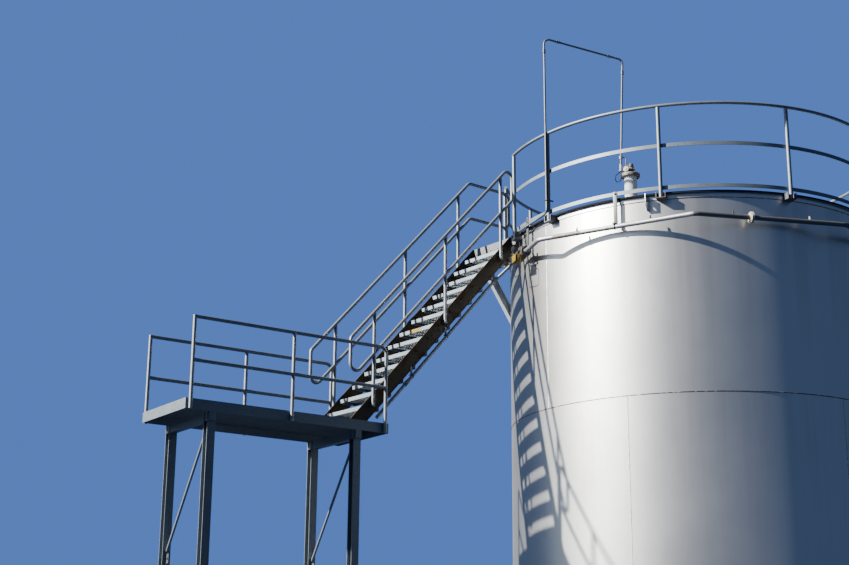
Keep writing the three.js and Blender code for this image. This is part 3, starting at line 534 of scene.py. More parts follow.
def turned(profile, steps=96):
    """A profile of radius and height drawn out ring by ring; off the axis, it closes on itself."""
    radius, height = profile[0]
    around = [*profile[1:], profile[0]] if radius else profile[1:]
    least = 1e-4
    values = {"vertices": steps, "radius": max(radius, least), "location": (0, 0, height)}
    piece = primitive("circle", **values)
    with editing(piece):
        for next_radius, next_height in around:
            move = {"value": (0, 0, next_height - height)}
            bpy.ops.mesh.extrude_region_move(TRANSFORM_OT_translate=move)
            scale = max(next_radius, least) / max(radius, least)
            centre = (0, 0, next_height)
            bpy.ops.transform.resize(value=(scale, scale, 1), center_override=centre)
            radius, height = next_radius, next_height
        bpy.ops.mesh.select_all(action="SELECT")
        bpy.ops.mesh.remove_doubles(threshold=2e-5)
        bpy.ops.mesh.select_all(action="DESELECT")
        bpy.ops.mesh.select_non_manifold()
        piece.update_from_editmode()
        if any(edge.select for edge in piece.data.edges):
            bpy.ops.mesh.edge_face_add()
    return piece


def rim(radius, low, high, edge=EDGE):
    """The four points of a disc's outer edge, with its two corners broken."""
    inner = radius - edge
    return [(inner, low), (radius, low + edge), (radius, high - edge), (inner, high)]


def hoop(inner, outer, low, high, steps=96):
    return smooth(turned([(inner, low), (outer, low), (outer, high), (inner, high)], steps))


def sector(inner, outer, low, high, start, end):
    """A rolled plate or bar: a rectangle spun about the tank's axis."""
    piece = primitive("plane", size=1, rotation=(math.pi / 2, 0, 0))
    size = Matrix.Diagonal((outer - inner, 1, high - low, 1))
    place(piece, turned_to(start) @ shifted((inner + outer) / 2, 0, (low + high) / 2) @ size)
    step = math.degrees(bpy.context.scene.tank_sizes.plate_step)
    with editing(piece):
        bpy.ops.mesh.spin(
            steps=max(int(round((end - start) / step)), 1),
            angle=math.radians(start - end),
            center=(0, 0, 0),
            axis=(0, 0, 1),
        )
        bpy.ops.mesh.select_all(action="SELECT")
        bpy.ops.mesh.remove_doubles(threshold=1e-6)
    return piece


def tube(points, radius, sides=None):
    """A round tube along a run of points."""
    start_clean()
    sides = sides or bpy.context.scene.tank_sizes.tube_sides
    bpy.ops.curve.primitive_nurbs_path_add()
    curve = bpy.context.object.data
    curve.splines.clear()
    spline = curve.splines.new("POLY")
    spline.points.add(len(points) - 1)
    for vertex, point in zip(spline.points, points):
        vertex.co = (*point, 1)
    curve.dimensions = "3D"
    curve.bevel_depth = radius
    curve.bevel_resolution = sides // 2 - 2
    curve.use_fill_caps = True
    bpy.ops.object.convert(target="MESH")
    piece = bpy.context.object
    with editing(piece):
        bpy.ops.mesh.remove_doubles(threshold=1e-6)
    return smooth(piece, 40)


def rounded(corners, radius, steps=8):
    """A run of points with its inner corners bent to a radius."""
    corners = [Vector(corner) for corner in corners]
    points = [corners[0]]
    for before, corner, after in zip(corners, corners[1:], corners[2:]):
        back, on = (before - corner).normalized(), (after - corner).normalized()
        half = back.angle(on) / 2
        centre = corner + (back + on).normalized() * radius / math.sin(half)
        spoke = corner + back * radius / math.tan(half) - centre
        axis = on.cross(back).normalized()
        for i in range(steps + 1):
            turn = Matrix.Rotation((math.pi - 2 * half) * i / steps, 3, axis)
            points.append(centre + turn @ spoke)
    return points + [corners[-1]]


def loop_of(corners, radius):
    """The closed run of points round some corners, started on a straight."""
    corners = [Vector(corner) for corner in corners]
    start = (corners[0] + corners[-1]) / 2
    end = start + (corners[0] - corners[-1]).normalized() * 1e-3
    return rounded([start, *corners, end], radius)


def plate_of(outline, thickness, edge=0.0):
    """A flat plate: an outline in XY, drawn up by its thickness."""
    piece = primitive("circle", vertices=len(outline), fill_type="NGON")
    for vertex, (x, y) in zip(piece.data.vertices, outline):
        vertex.co = (x, y, 0)
    with editing(piece):
        bpy.ops.mesh.extrude_region_move(TRANSFORM_OT_translate={"value": (0, 0, thickness)})
    return soften(piece, edge) if edge else piece


def bored(piece, centre, half_way, radius, sides):
    """A piece with a round hole through it."""
    cutter = rod(centre - half_way, centre + half_way, radius, sides)
    modified(piece, "BOOLEAN", object=cutter, operation="DIFFERENCE", solver="EXACT")
    bpy.data.objects.remove(cutter)
    return piece


def repeated(piece, count, step):
    """A piece repeated along a step."""
    offset = {"use_relative_offset": False, "use_constant_offset": True}
    return modified(piece, "ARRAY", count=count, constant_offset_displace=step, **offset)


def grating_frame(x0, x1, y0, y1, low, high, plate, count, rod_z):
    """Four plates on edge round a grating, and the rods that cross its bars."""
    first, last = y0 + 0.05, y1 - 0.05
    cross = rod((x0, first, rod_z), (x1, first, rod_z), 0.003, 6)
    return [
        block(x0, x1, y0, y0 + plate, low, high),
        block(x0, x1, y1 - plate, y1, low, high),
        block(x0, x0 + plate, y0, y1, low, high),
        block(x1 - plate, x1, y0, y1, low, high),
        repeated(cross, count, (0, (last - first) / (count - 1), 0)),
    ]


def copies(piece, matrices):
    """Copies of a piece at each place, with meshes of their own; the first one goes."""
    made = []
    for matrix in matrices:
        twin = piece.copy()
        twin.data = piece.data.copy()
        twin.data.transform(matrix)
        bpy.context.collection.objects.link(twin)
        made.append(twin)
    bpy.data.objects.remove(piece)
    return made


def gathered(pieces):
    """Several pieces as one."""
    choose(*pieces)
    if len(pieces) > 1:
        bpy.ops.object.join()
    return bpy.context.object


def facing(point, direction):
    """The place of a part that stands on a point with its +Z along a direction."""
    turn = Vector(direction).to_track_quat("Z", "Y").to_matrix().to_4x4()
    return Matrix.Translation(point) @ turn


def bolt(radius, shank=0.0):
    """A hexagon head with its washer, and the end of its shank on the other side."""
    head = rod((0, 0, 0.15 * radius), (0, 0, 0.85 * radius), radius, 6)
    washer = rod((0, 0, 0), (0, 0, 0.16 * radius), 1.18 * radius, 16)
    parts = [soften(head, 0.06 * radius, 1), washer]
    if shank:
        parts.append(rod((0, 0, -shank - radius), (0, 0, 0), 0.52 * radius, 10))
        nut = rod((0, 0, -shank - 0.8 * radius), (0, 0, -shank), radius, 6)
        parts.append(soften(nut, 0.06 * radius, 1))
    return gathered(parts)


def bolt_circle(radius, count, height, size, shank=0.0):
    """Bolts on a pitch circle about Z."""
    points = [polar(radius, 360 * (i + 0.5) / count, height) for i in range(count)]
    return copies(bolt(size, shank), [Matrix.Translation(point) for point in points])


def u_bolt(radius, rise, wire=0.0045):
    """A U-bolt under a pipe along X, its legs up to a rise with a nut on each."""
    legs = ((-1, rise), (-1, -radius), (1, -radius), (1, rise))
    run = [(0, side * radius, height) for side, height in legs]
    parts = [tube(rounded(run, radius * 0.98, 6), wire, 8)]
    for side in (-radius, radius):
        nut = rod((0, side, rise - 0.018), (0, side, rise - 0.009), 0.0095, 6)
        parts.append(soften(nut, 0.0006, 1))
    return gathered(parts)


def sleeve(start, end, radius):
    """A coupling on a pipe: a sleeve with a raised collar at both ends."""
    collar = (end - start).normalized() * 0.010
    parts = [rod(start, end, radius, 20, 0.001)]
    for point, past in ((start, collar), (end, -collar)):
        parts.append(rod(point, point + past, radius + 0.0035, 20, 0.001))
    return gathered(parts)


def dress(piece, finish):
    piece.data.materials.clear()
    piece.data.materials.append(material_named(finish))


def finished(parts, name, finish, node=None, at=None):
    """Joins parts to one piece, places, names and dresses it, and hides the model's part that it
    stands for, if one is given.
    """
    piece = gathered(parts) if isinstance(parts, list) else parts
    if at:
        place(piece, at)
    piece.name = piece.data.name = name
    dress(piece, finish)
    for face in piece.data.polygons:
        face.material_index = 0
    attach(piece, "root")
    if node:
        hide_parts(node)
    return piece


def hung_cable(corners, name, node):
    """A short cable that hangs between two of the tank's parts."""
    path = rounded(corners, CABLE_BEND, 5)
    piece = finished(tube(path, CABLE_RADIUS, 12), name, "cable_jacket", node)


# Places on the tank


def polar(radius, azimuth, z=0.0):
    turn = math.radians(azimuth)
    return Vector((radius * math.cos(turn), radius * math.sin(turn), z))


def turned_to(azimuth):
    return Matrix.Rotation(math.radians(azimuth), 4, "Z")


def turned_along(direction):
    return Matrix.Rotation(math.atan2(direction.y, direction.x), 4, "Z")


def roof_height(radius):
    return TANK_HEIGHT + max(ROOF_RIM - radius, 0) * ROOF_SLOPE


def ring_corner(index):
    return polar(RING_CORNER_RADIUS, RING_CORNERS[index], RING_Z)


def ring_side(azimuth):
    """The middle azimuth of the ring's straight run at an azimuth, and half its angle."""
    after = next(i for i, corner in enumerate(RING_CORNERS) if corner > azimuth)
    start, end = RING_CORNERS[after - 1 : after + 1]
    return (start + end) / 2, (end - start) / 2


def ring_direction(azimuth):
    return polar(1, ring_side(azimuth)[0] + 90)


def ring_point(azimuth, past=0.0):
    middle, half = ring_side(azimuth)
    flat = RING_CORNER_RADIUS * math.cos(math.radians(half))
    radius = flat / math.cos(math.radians(azimuth - middle))
    return polar(radius, azimuth, RING_Z) + ring_direction(azimuth) * past


def nosing(along):
    """Height of the line through the treads' front edges."""
    return TANK_HEIGHT - RISE - along * RISE / GOING


def along_at(height, above):
    return (TANK_HEIGHT - RISE + above - height) * GOING / RISE


def tread_top(index):
    return Vector((index * GOING, 0, TANK_HEIGHT - RISE * (index + 1)))


def along_to_circle(across, radius):
    """Where a line along the stair meets a circle about the tank's axis."""
    base = (STAIR @ Vector((0, across, 0))).to_2d()
    half = base.dot(Vector((math.cos(STAIR_TURN), math.sin(STAIR_TURN))))
    return -half + math.sqrt(half * half - base.length_squared + radius * radius)


# Pieces


class TankOperator:
    """What the tank's operators have in common; they run in the order they are written in"""

    bl_options = {"REGISTER", "UNDO"}


class TANK_OT_shell(TankOperator, bpy.types.Operator):
    """Rolls the shell's plates, course by course"""

    bl_idname = "tank.shell"
    bl_label = "Shell plates"

    def execute(self, context):
        gap = math.degrees(SEAT / 2 / TANK_RADIUS)
        for course, seams in enumerate(COURSE_SEAMS):
            low = course * COURSE_HEIGHT + SEAT / 2 if course else BOTTOM_THICKNESS + SEAT
            high = min((course + 1) * COURSE_HEIGHT - SEAT / 2, UNDER_ROOF)
            inner = TANK_RADIUS - COURSE_THICKNESS[course]
            for i, (start, end) in enumerate(zip(seams, [*seams[1:], seams[0] + 360])):
                plate = sector(inner, TANK_RADIUS, low, high, start + gap, end - gap)
                node = f"shell_course_{course + 1}_plate_{i + 1}"
                finished(smooth(plate), "plate_" + node, "shell_paint", node)
        return {"FINISHED"}


class TANK_OT_welds(TankOperator, bpy.types.Operator):
    """Lays the welds round and up the shell"""

    bl_idname = "tank.welds"
    bl_label = "Welds"

    def execute(self, context):
        width, sunk = context.scene.tank_sizes.weld_width, TANK_RADIUS - 0.001
        heights = (COURSE_HEIGHT, 2 * COURSE_HEIGHT, TANK_HEIGHT - CURB_HEIGHT - 0.010)
        beads = [ring_bead((0, 0, height), sunk, width * 0.75) for height in heights]
        finished(smooth(gathered(beads), 60), "course_welds", "old_weld")
        beads, flat = [], Matrix.Diagonal((0.5, 1, 1, 1))
        for course, seams in enumerate(COURSE_SEAMS):
            low, high = course * COURSE_HEIGHT + 0.009, (course + 1) * COURSE_HEIGHT
            under_curb = 0.09 if course == 2 else 0
            bead = rod((0, 0, low), (0, 0, high - under_curb), width, 10)
            beads += copies(bead, [turned_to(a) @ shifted(sunk, 0, 0) @ flat for a in seams])
        beads.append(ring_bead((0, 0, BOTTOM_THICKNESS + 0.002), TANK_RADIUS + 0.001, 0.007))
        finished(smooth(gathered(beads), 60), "shell_welds", "weld")
        return {"FINISHED"}


class TANK_OT_roof(TankOperator, bpy.types.Operator):
    """Turns the cone roof and the curb under its edge, and cuts the lifting lug"""

    bl_idname = "tank.roof"
    bl_label = "Roof and curb"

    def execute(self, context):
        peak, low = roof_height(0), TANK_HEIGHT - ROOF_THICKNESS
        outer = rim(ROOF_EDGE, low, TANK_HEIGHT)
        inner = (ROOF_RIM, TANK_HEIGHT), (0, peak)
        roof = turned([(0, peak - ROOF_THICKNESS), (ROOF_RIM, low), *outer, *inner], 360)
        finished(smooth(roof, 25), "roof_plate", "shell_paint", "cone_roof")
        seam = rod((0.15, 0, roof_height(0.15)), (ROOF_RIM, 0, TANK_HEIGHT), 0.006, 8)
        seams = copies(seam, [turned_to(30 * i + 9) for i in range(12)])
        finished(smooth(gathered(seams), 60), "roof_welds", "weld")
        low, high = TANK_HEIGHT - DRIP_HEIGHT, TANK_HEIGHT + 0.0005
        drip = hoop(ROOF_EDGE - 0.006, ROOF_EDGE + 0.001, low, high, 360)
        finished(drip, "roof_drip_edge", "black_paint")
        inner, outer = TANK_RADIUS + SEAT, TANK_RADIUS + CURB_THICKNESS
        low, high, edge = UNDER_ROOF - CURB_HEIGHT, UNDER_ROOF, 0.001
        section = [(inner, low), (outer - edge, low), (outer, low + edge), (outer, high)]
        curb = turned([*section, (inner, high)], 360)
        lug = plate_of([(TANK_RADIUS + x, TANK_HEIGHT + z) for x, z in LUG_CORNERS], LUG_THICKNESS)
        place(lug, shifted(0, LUG_THICKNESS / 2, 0) @ STAND)
        eye = Vector((TANK_RADIUS + 0.062, 0, TANK_HEIGHT - 0.130))
        bored(lug, eye, Vector((0, 0.02, 0)), 0.018, 32)
        place(soften(lug, 0.001), turned_to(LUG_AZIMUTH))
        finished(smooth(gathered([curb, lug])), "curb_and_lug", "shell_paint", "curb_ring")
        return {"FINISHED"}


class TANK_OT_bottom(TankOperator, bpy.types.Operator):
    """Turns the bottom plate"""

    bl_idname = "tank.bottom"
    bl_label = "Bottom plate"

    def execute(self, context):
        outer = rim(BOTTOM_RADIUS, 0, BOTTOM_THICKNESS, 0.0012)
        disc = turned([(0, 0), *outer, (0, BOTTOM_THICKNESS)], 360)
        finished(smooth(disc), "bottom_disc", "shell_paint", "bottom_plate")
        return {"FINISHED"}


class TANK_OT_branches(TankOperator, bpy.types.Operator):
    """Turns the manway and the outlet, and bolts their blind plates"""

    bl_idname = "tank.branches"
    bl_label = "Manway and outlet"

    def execute(self, context):
        joint, groove, bottom = 0.003, 0.006, 0.02
        for node, branch in BRANCHES.items():
            azimuth, height, pipe, flange, reach, plate, bolts, size = branch
            section = [
                (pipe - 0.010, bottom),
                (pipe, 0.0),
                (pipe, reach - plate),
                *rim(flange, reach - plate, reach),
                (flange - groove, reach),
                (flange - groove, reach + joint),
                *rim(flange, reach + joint, reach + plate)[1:],
                (0, reach + plate),
                (0, bottom),
            ]
            neck, circle = smooth(turned(section, 72)), (pipe + flange) / 2 + 0.003
            studs = bolt_circle(circle, bolts, reach + plate, size, 2 * plate + joint)
            outwards = Matrix.Rotation(math.pi / 2, 4, "Y")
            there = turned_to(azimuth) @ shifted(TANK_RADIUS - 0.003, 0, height) @ outwards
            finished(neck, node + "_neck", "shell_paint", node, there)
            finished(studs, node + "_bolts", "dirty_zinc", at=there)
        return {"FINISHED"}


class TANK_OT_guard_rail(TankOperator, bpy.types.Operator):
    """Bends the rails and sets the posts on the roof's edge"""

    bl_idname = "tank.guard_rail"
    bl_label = "Guard rail"

    def execute(self, context):
        sizes = context.scene.tank_sizes
        span = RAIL_END - RAIL_START + RAIL_PAST
        count = int(span / RAIL_STEP)
        turns = [RAIL_START - RAIL_PAST + span * i / count for i in range(count + 1)]
        run = [polar(RAIL_RADIUS, turn, TOP_RAIL_Z) for turn in turns]
        finished(tube(run, sizes.rail_tube), "rail_tube", "zinc", "top_rail")
        outer = RAIL_RADIUS - sizes.post_tube - SEAT
        inner = outer - BAR_THICKNESS
        for node, z in (("mid_rail", MID_RAIL_Z), ("toe_bar", TOE_BAR_Z)):
            bar = sector(inner, outer, z - BAR_HALF, z + BAR_HALF, RAIL_START, RAIL_END)
            finished(smooth(soften(bar, 0.0012, 1)), node + "_bar", "zinc", node)
        hangers = [self.hanger(azimuth) for azimuth in HANGER_AZIMUTHS]
        finished(smooth(gathered(hangers)), "ring_hangers", "worn_zinc")
        self.posts(sizes)
        self.fasteners(inner)
        places = []
        for azimuth in HANGER_AZIMUTHS[1:]:
            turn = turned_along(ring_direction(azimuth))
            places.append(Matrix.Translation(ring_point(azimuth)) @ turn)
        finished(copies(u_bolt(0.03465, 0.056), places), "ring_clamps", "rusty_steel")
        return {"FINISHED"}

    def hanger(self, azimuth):
        """A strip that carries the cooling ring, with its saddle"""
        at_valve = azimuth == VALVE_AZIMUTH
        face, half, corner = RAIL_RADIUS - POST_TUBE - 0.004, 0.025, 0.020
        low = RING_Z + (VALVE_BODY if at_valve else RING_PIPE) + SEAT
        top = TOE_BAR_Z + (0.068 if at_valve else 0.030)
        reach = ring_point(azimuth).to_2d().length + 0.046
        side = [(half, low), (half, top - corner), (0.010, top)]
        strip = plate_of([(-half, low), *side, (-0.010, top), (-half, top - corner)], 0.012, 0.0012)
        place(strip, shifted(face, 0, 0) @ QUARTER @ STAND)
        if at_valve:
            bored(strip, Vector((face, 0, top - 0.028)), Vector((0.03, 0, 0)), 0.011, 20)
        saddle = block(face, reach, -half, half, low, low + 0.006)
        return place(gathered([strip, saddle]), turned_to(azimuth))

    def posts(self, sizes):
        """One post with its bracket, copied to each azimuth"""
        floor, half, plate = TANK_HEIGHT - BRACKET_BELOW, BRACKET_WIDTH / 2, BRACKET_PLATE
        inner = TANK_RADIUS + 2 * SEAT
        cheek_top = TANK_HEIGHT - ROOF_THICKNESS - 0.002
        foot = Vector((RAIL_RADIUS, 0, floor - 0.002))
        head = Vector((RAIL_RADIUS, 0, TOP_RAIL_Z - sizes.rail_tube - SEAT))
        post = rod(foot, head, sizes.post_tube, 28)
        weld = ring_bead((RAIL_RADIUS, 0, floor + 0.001), sizes.post_tube, 0.004, 28)
        base = block(inner, BRACKET_REACH, -half, half, floor - plate, floor)
        parts, inner = [smooth(weld, 60), base], inner + CURB_THICKNESS
        for y in (-half, half - plate):
            parts.append(block(inner, BRACKET_REACH, y, y + plate, floor - 0.002, cheek_top))
        bracket = gathered(parts)
        turns = [turned_to(azimuth) for azimuth in POST_AZIMUTHS]
        for i, twin in enumerate(copies(post, turns)):
            node = f"rail_post_{i + 1:02d}"
            finished(twin, "post_" + node, "zinc", node)
        finished(copies(bracket, turns), "rail_brackets", "rusty_zinc")

    def fasteners(self, inner):
        """The bolts that hold the flat bars to the posts, and the hangers to the toe bar"""
        places = []
        for azimuth in POST_AZIMUTHS:
            for height in (MID_RAIL_Z, TOE_BAR_Z):
                for side in (-0.55, 0.55):
                    places.append(facing(polar(inner, azimuth + side, height), -polar(1, azimuth)))
        finished(copies(bolt(0.009), places), "rail_bolts", "zinc")
        outer = RAIL_RADIUS - POST_TUBE + 0.008
        places = [facing(polar(outer, a, TOE_BAR_Z), polar(1, a)) for a in HANGER_AZIMUTHS]
        finished(copies(bolt(0.011), places), "hanger_bolts", "rusty_steel")


class TANK_OT_cooling_ring(TankOperator, bpy.types.Operator):
    """Bends the cooling ring's two runs, with their flanges and spray nozzles"""

    bl_idname = "tank.cooling_ring"
    bl_label = "Cooling ring"

    def execute(self, context):
        pipe = context.scene.tank_sizes.ring_pipe
        valve = (VALVE_AZIMUTH, VALVE_HALF + SEAT)
        runs = (
            ("front", valve, (RING_JOINT, -SEAT / 2), range(1, 3), "rusty_steel"),
            ("back", (RING_JOINT, SEAT / 2), (RING_END, -SEAT), range(3, 8), "cream_paint"),
        )
        for name, start, end, corners, nozzle_finish in runs:
            node = "cooling_ring_" + name
            corners = [ring_point(*start), *map(ring_corner, corners), ring_point(*end)]
            run = rounded(corners, RING_BEND)
            # Lit and shaded copies: a run's sunlit points get the brighter zinc as a painted
            # highlight, and the rest gets the darker worn zinc
            lit = self.lit_points(run)
            if lit:
                finished(tube(run[:lit], pipe), node + "_pipe", "pale_zinc", node)
                finished(tube(run[lit - 1 :], pipe), node + "_pipe_end", "worn_zinc")
            else:
                finished(tube(run, pipe), node + "_pipe", "worn_zinc", node)
            nozzles = [self.nozzle(a) for a in RING_NOZZLES if start[0] + 4 < a < end[0] - 4]
            finished(nozzles, node + "_nozzles", nozzle_finish)
            for (azimuth, past), side, which in ((start, 1, "_start"), (end, -1, "_end")):
                there = facing(ring_point(azimuth, past), ring_direction(azimuth) * side)
                metal = "cream_paint" if azimuth == RING_JOINT else "dark_zinc"
                finished(self.flange(), node + which + "_flange", metal, at=there)
        return {"FINISHED"}

    def lit_points(self, run):
        """How many of a run's points lie on the sunlit side, which gets the brighter zinc as a
        painted highlight
        """
        return sum(math.degrees(math.atan2(point.y, point.x)) < PIPE_HIGHLIGHT_TO for point in run)

    def nozzle(self, azimuth):
        """A spray nozzle on top of the ring, turned a little to the shell"""
        foot = ring_point(azimuth)
        head = foot + Vector((0, 0, 0.075)) - polar(0.012, azimuth)
        up = (head - foot).normalized()
        stem = rod(foot, head - up * 0.018, 0.0085, 12)
        body = rod(foot + up * 0.034, foot + up * 0.052, 0.0125, 6)
        return gathered([stem, body, rod(head - up * 0.022, head, 0.010, 12, 0.002)])

    def flange(self):
        """A raised flange with four bolts that stand on its inner face"""
        hub = (0.037, 0.016), (0.031, 0.030), (0.030, 0.030)
        disc = turned([(0.030, 0.0), *rim(0.070, 0.0, 0.016), *hub], 40)
        return [smooth(disc), *bolt_circle(0.055, 4, 0.016, 0.0105)]


class TANK_OT_valve(TankOperator, bpy.types.Operator):
    """Builds the ring's valve and its actuator"""

    bl_idname = "tank.valve"
    bl_label = "Ring valve"

    def execute(self, context):
        along, centre = ring_direction(VALVE_AZIMUTH), ring_point(VALVE_AZIMUTH)
        neck = [(VALVE_BODY, 0.030), (0.040, 0.050), (0.036, VALVE_HALF - 0.018)]
        flange = [(0.070, VALVE_HALF - 0.016), *rim(0.070, 0, VALVE_HALF)[2:], (0.030, VALVE_HALF)]
        half = [*neck, *flange]
        body = turned([(radius, -height) for radius, height in reversed(half)] + half, 40)
        place(smooth(body), facing(centre, along))
        stem = (along.cross(Vector((0, 0, 1))) - Vector((0, 0, 1))).normalized()
        middle = centre + stem * 0.085 * math.sqrt(2)
        bonnet = rod(centre + stem * 0.03, middle - stem * 0.062, 0.022, 20)
        finished([body, bonnet], "valve_body", "dark_zinc", "ring_valve")
        there = Matrix.Translation(middle) @ turned_along(along)
        x, z = 0.075, 0.0475
        housing = [
            block(-x, x, -0.036, 0.056, -z, z, 0.009),
            block(-x, x, -0.056, -0.042, -z, z, 0.003),
            rod((0.0, 0.018, 0.046), (0.0, 0.018, z), 0.030, 24),
        ]
        for y in (-0.004, 0.014, 0.032):
            for low in (-x - EDGE, x - 0.002):
                housing.append(block(low, low + 0.0035, y - 0.003, y + 0.003, -0.036, 0.036))
        housing = smooth(gathered(housing))
        finished(housing, "valve_drive", "mustard_paint", "valve_actuator", there)
        seals = [block(-0.071, 0.071, -0.046, -0.030, -0.0435, 0.0435, 0.002)]
        seals += [rod((side * 0.0745, 0, 0), (side * 0.078, 0, 0), 0.011, 6) for side in (-1, 1)]
        finished(smooth(gathered(seals)), "valve_seal", "black_paint", at=there)
        face, out, drop = x + SEAT, 0.125, 0.230
        loop = ((face, 0), (out, 0), (out, drop), (-out, drop), (-out, 0), (-face, 0))
        corners = [middle + along * past - Vector((0, 0, below)) for past, below in loop]
        hung_cable(corners, "valve_lead", "valve_cable")
        return {"FINISHED"}


class TANK_OT_gauge(TankOperator, bpy.types.Operator):
    """Builds the level gauge on the roof, its conduit and its cable"""

    bl_idname = "tank.gauge"
    bl_label = "Level gauge"

    def execute(self, context):
        there, flange, bore, outer = Matrix.Translation(GAUGE), GAUGE_FLANGE, 0.075, 0.124
        low = roof_height(GAUGE.to_2d().length) + SEAT - 0.006 - GAUGE.z
        neck = hoop(bore, 0.082, low, -0.010, 64)
        finished(neck, "gauge_neck", "grey_paint", "gauge_nozzle", there)
        weld = (0.088, -flange - 0.006), (0.090, -flange)
        ring = turned([(bore, -flange), *weld, *rim(outer, -flange, 0), (bore, 0)], 64)
        finished(smooth(ring), "gauge_flange", "rusty_zinc", at=there)
        cover = [(0, SEAT), (outer - EDGE, SEAT), (outer, 0.002), *rim(outer, 0, flange)[2:]]
        profile = [*cover, *GAUGE_DRUM, *GAUGE_NECK, *GAUGE_COLLAR, *GAUGE_CAP]
        lug = block(0.055, 0.068, -0.010, 0.010, 0.026, 0.086, 0.002)
        lugs = copies(lug, [turned_to(60 * i + 20) for i in range(6)])
        head = [smooth(turned(profile, 64)), *lugs]
        finished(head, "gauge_housing", "housing_paint", "gauge_head", there)
        studs = bolt_circle(0.104, 8, flange + SEAT, 0.012, 2 * flange + SEAT)
        finished(studs, "gauge_bolts", "dark_zinc", at=there)
        self.fittings(there)
        self.conduit(context.scene.tank_sizes.conduit)
        return {"FINISHED"}

    def fittings(self, there):
        """The band round the head, its terminal box, and the thin pipe to the conduit"""
        finished(hoop(0.060, 0.0635, 0.027, 0.050), "gauge_band", "blue_paint", at=there)
        corner, out = Vector((-0.040, -0.030, 0.072)), Vector((-0.50, -0.86, 0)).normalized()
        box = place(smooth(turned([*BOX_WALL, (0, 0.060)], 32)), facing(corner, out))
        cap = rod(corner + out * 0.058, corner + out * 0.066, 0.014, 6, 0.001)
        finished([box, cap], "gauge_terminal", "cream_paint", at=there)
        corners = (-0.060, -0.040, 0.085), (-0.060, -0.040, 0.245), (-0.118, -0.030, 0.245)
        vent = tube(rounded(corners, 0.020, 6), 0.0065, 10)
        finished(vent, "gauge_vent", "worn_zinc", at=there)
        low, high = Vector((-0.128, -0.030, 0.0555)), Vector((-0.1247, -0.0306, 0.150))
        upper = [high + Vector((0, 0, rise)) for rise in (0.075, 0.115)]
        joints = [sleeve(low, high, 0.0185), sleeve(*upper, 0.018)]
        finished(joints, "gauge_joints", "cream_paint", at=there)

    def conduit(self, radius):
        """The conduit's run with its couplings and clamp, and the cable from its end"""
        post, knee_z = polar(RAIL_RADIUS, -144), 7.690
        leg = post + polar(POST_TUBE + radius + SEAT, CONDUIT_TURN)
        knee, top = leg + Vector((0, 0, knee_z)), leg + Vector((0, 0, 9.987))
        bend = GAUGE + Vector((-0.063, -0.040, 1.645))
        end = GAUGE + Vector((-0.128, -0.030, 0.055))
        foot = [polar(2.592, -161, 7.486), polar(2.592, -156, 7.486), polar(2.594, -150.5, 7.500)]
        run = rounded([*foot, leg + Vector((0, 0, 7.522)), top, bend, end], CONDUIT_BEND)
        low = next(i for i, point in enumerate(run) if point.z > 7.6)
        finished(tube([*run[:low], knee], radius), "conduit_foot", "dirty_zinc")
        finished(tube([knee, *run[low:]], radius), "conduit_tube", "worn_zinc", "gauge_conduit")
        couplings, near, far = [], 0.170, 0.212
        for start, other in ((top, leg), (top, bend), (bend, top), (bend, end)):
            along = (other - start).normalized()
            couplings.append(sleeve(start + along * near, start + along * far, 0.0175))
        finished(couplings, "conduit_couplings", "worn_zinc")
        reach, side, wire = POST_TUBE + 2 * radius + 0.005, 0.030, 0.0055
        oval = [(-side, -side, 0), (reach, -side, 0), (reach, side, 0), (-side, side, 0)]
        clamp = [tube(loop_of(oval, 0.0195), wire, 8)]
        clamp.append(rod((-0.058, side, 0), (0.010, side, 0), wire, 8))
        clamp += [rod((x, side, 0), (x + 0.010, side, 0), 0.011, 6) for x in (-0.050, -0.034)]
        there = shifted(post.x, post.y, knee_z) @ turned_to(CONDUIT_TURN)
        finished(clamp, "conduit_clamp", "rusty_steel", at=there)
        azimuth, face = 172.5, 0.060 * math.cos(math.pi / 24) + SEAT
        corners = [
            Vector((-0.128, -0.030, 0.055 - 2 * SEAT)),
            Vector((-0.128, -0.030, -0.085)),
            polar(0.195, azimuth, -0.085),
            polar(0.195, azimuth, 0.010),
            polar(0.136, azimuth, 0.062),
            polar(face, azimuth, 0.062),
        ]
        hung_cable([GAUGE + corner for corner in corners], "gauge_lead", "gauge_cable")


class TANK_OT_treads(TankOperator, bpy.types.Operator):
    """Makes one grating tread and copies it down the flight"""

    bl_idname = "tank.treads"
    bl_label = "Stair treads"

    def execute(self, context):
        pitch = context.scene.tank_sizes.grating_pitch
        depth, height, plate = 0.240, 0.048, 0.005
        near, far = SEAT, STAIR_WIDTH - SEAT
        parts = grating_frame(-depth, 0, near, far, -height, 0, plate, count=14, rod_z=-0.008)
        parts.append(self.bearing_bars(depth, plate, near, far, pitch))
        steps = [STAIR @ Matrix.Translation(tread_top(i)) for i in range(TREADS)]
        for i, twin in enumerate(copies(gathered(parts), steps)):
            node = f"stair_tread_{i + 1:02d}"
            finished(twin, "grating_" + node, "dull_zinc", node)
        mark = block(-0.001, 0.001, 0.22, 0.45, -0.045, -0.001, 0.0008)
        finished(mark, "tread_mark", "yellow_paint", at=steps[6])
        return {"FINISHED"}

    def bearing_bars(self, depth, plate, near, far, pitch):
        """Serrated bars across the tread"""
        teeth, low, high, tooth = 24, -0.030, -0.001, 0.010
        step = (far - near) / teeth
        outline = [(near, low), (far, low)]
        for i in range(teeth, 0, -1):
            outline += [(near + i * step, high), (near + (i - 0.5) * step, high - tooth)]
        first = shifted(-plate - pitch * 0.75, 0, 0)
        bar = place(plate_of(outline, 0.003), first @ QUARTER @ STAND)
        count = int(depth / pitch)
        return repeated(bar, count, (-(depth - pitch) / count, 0, 0))


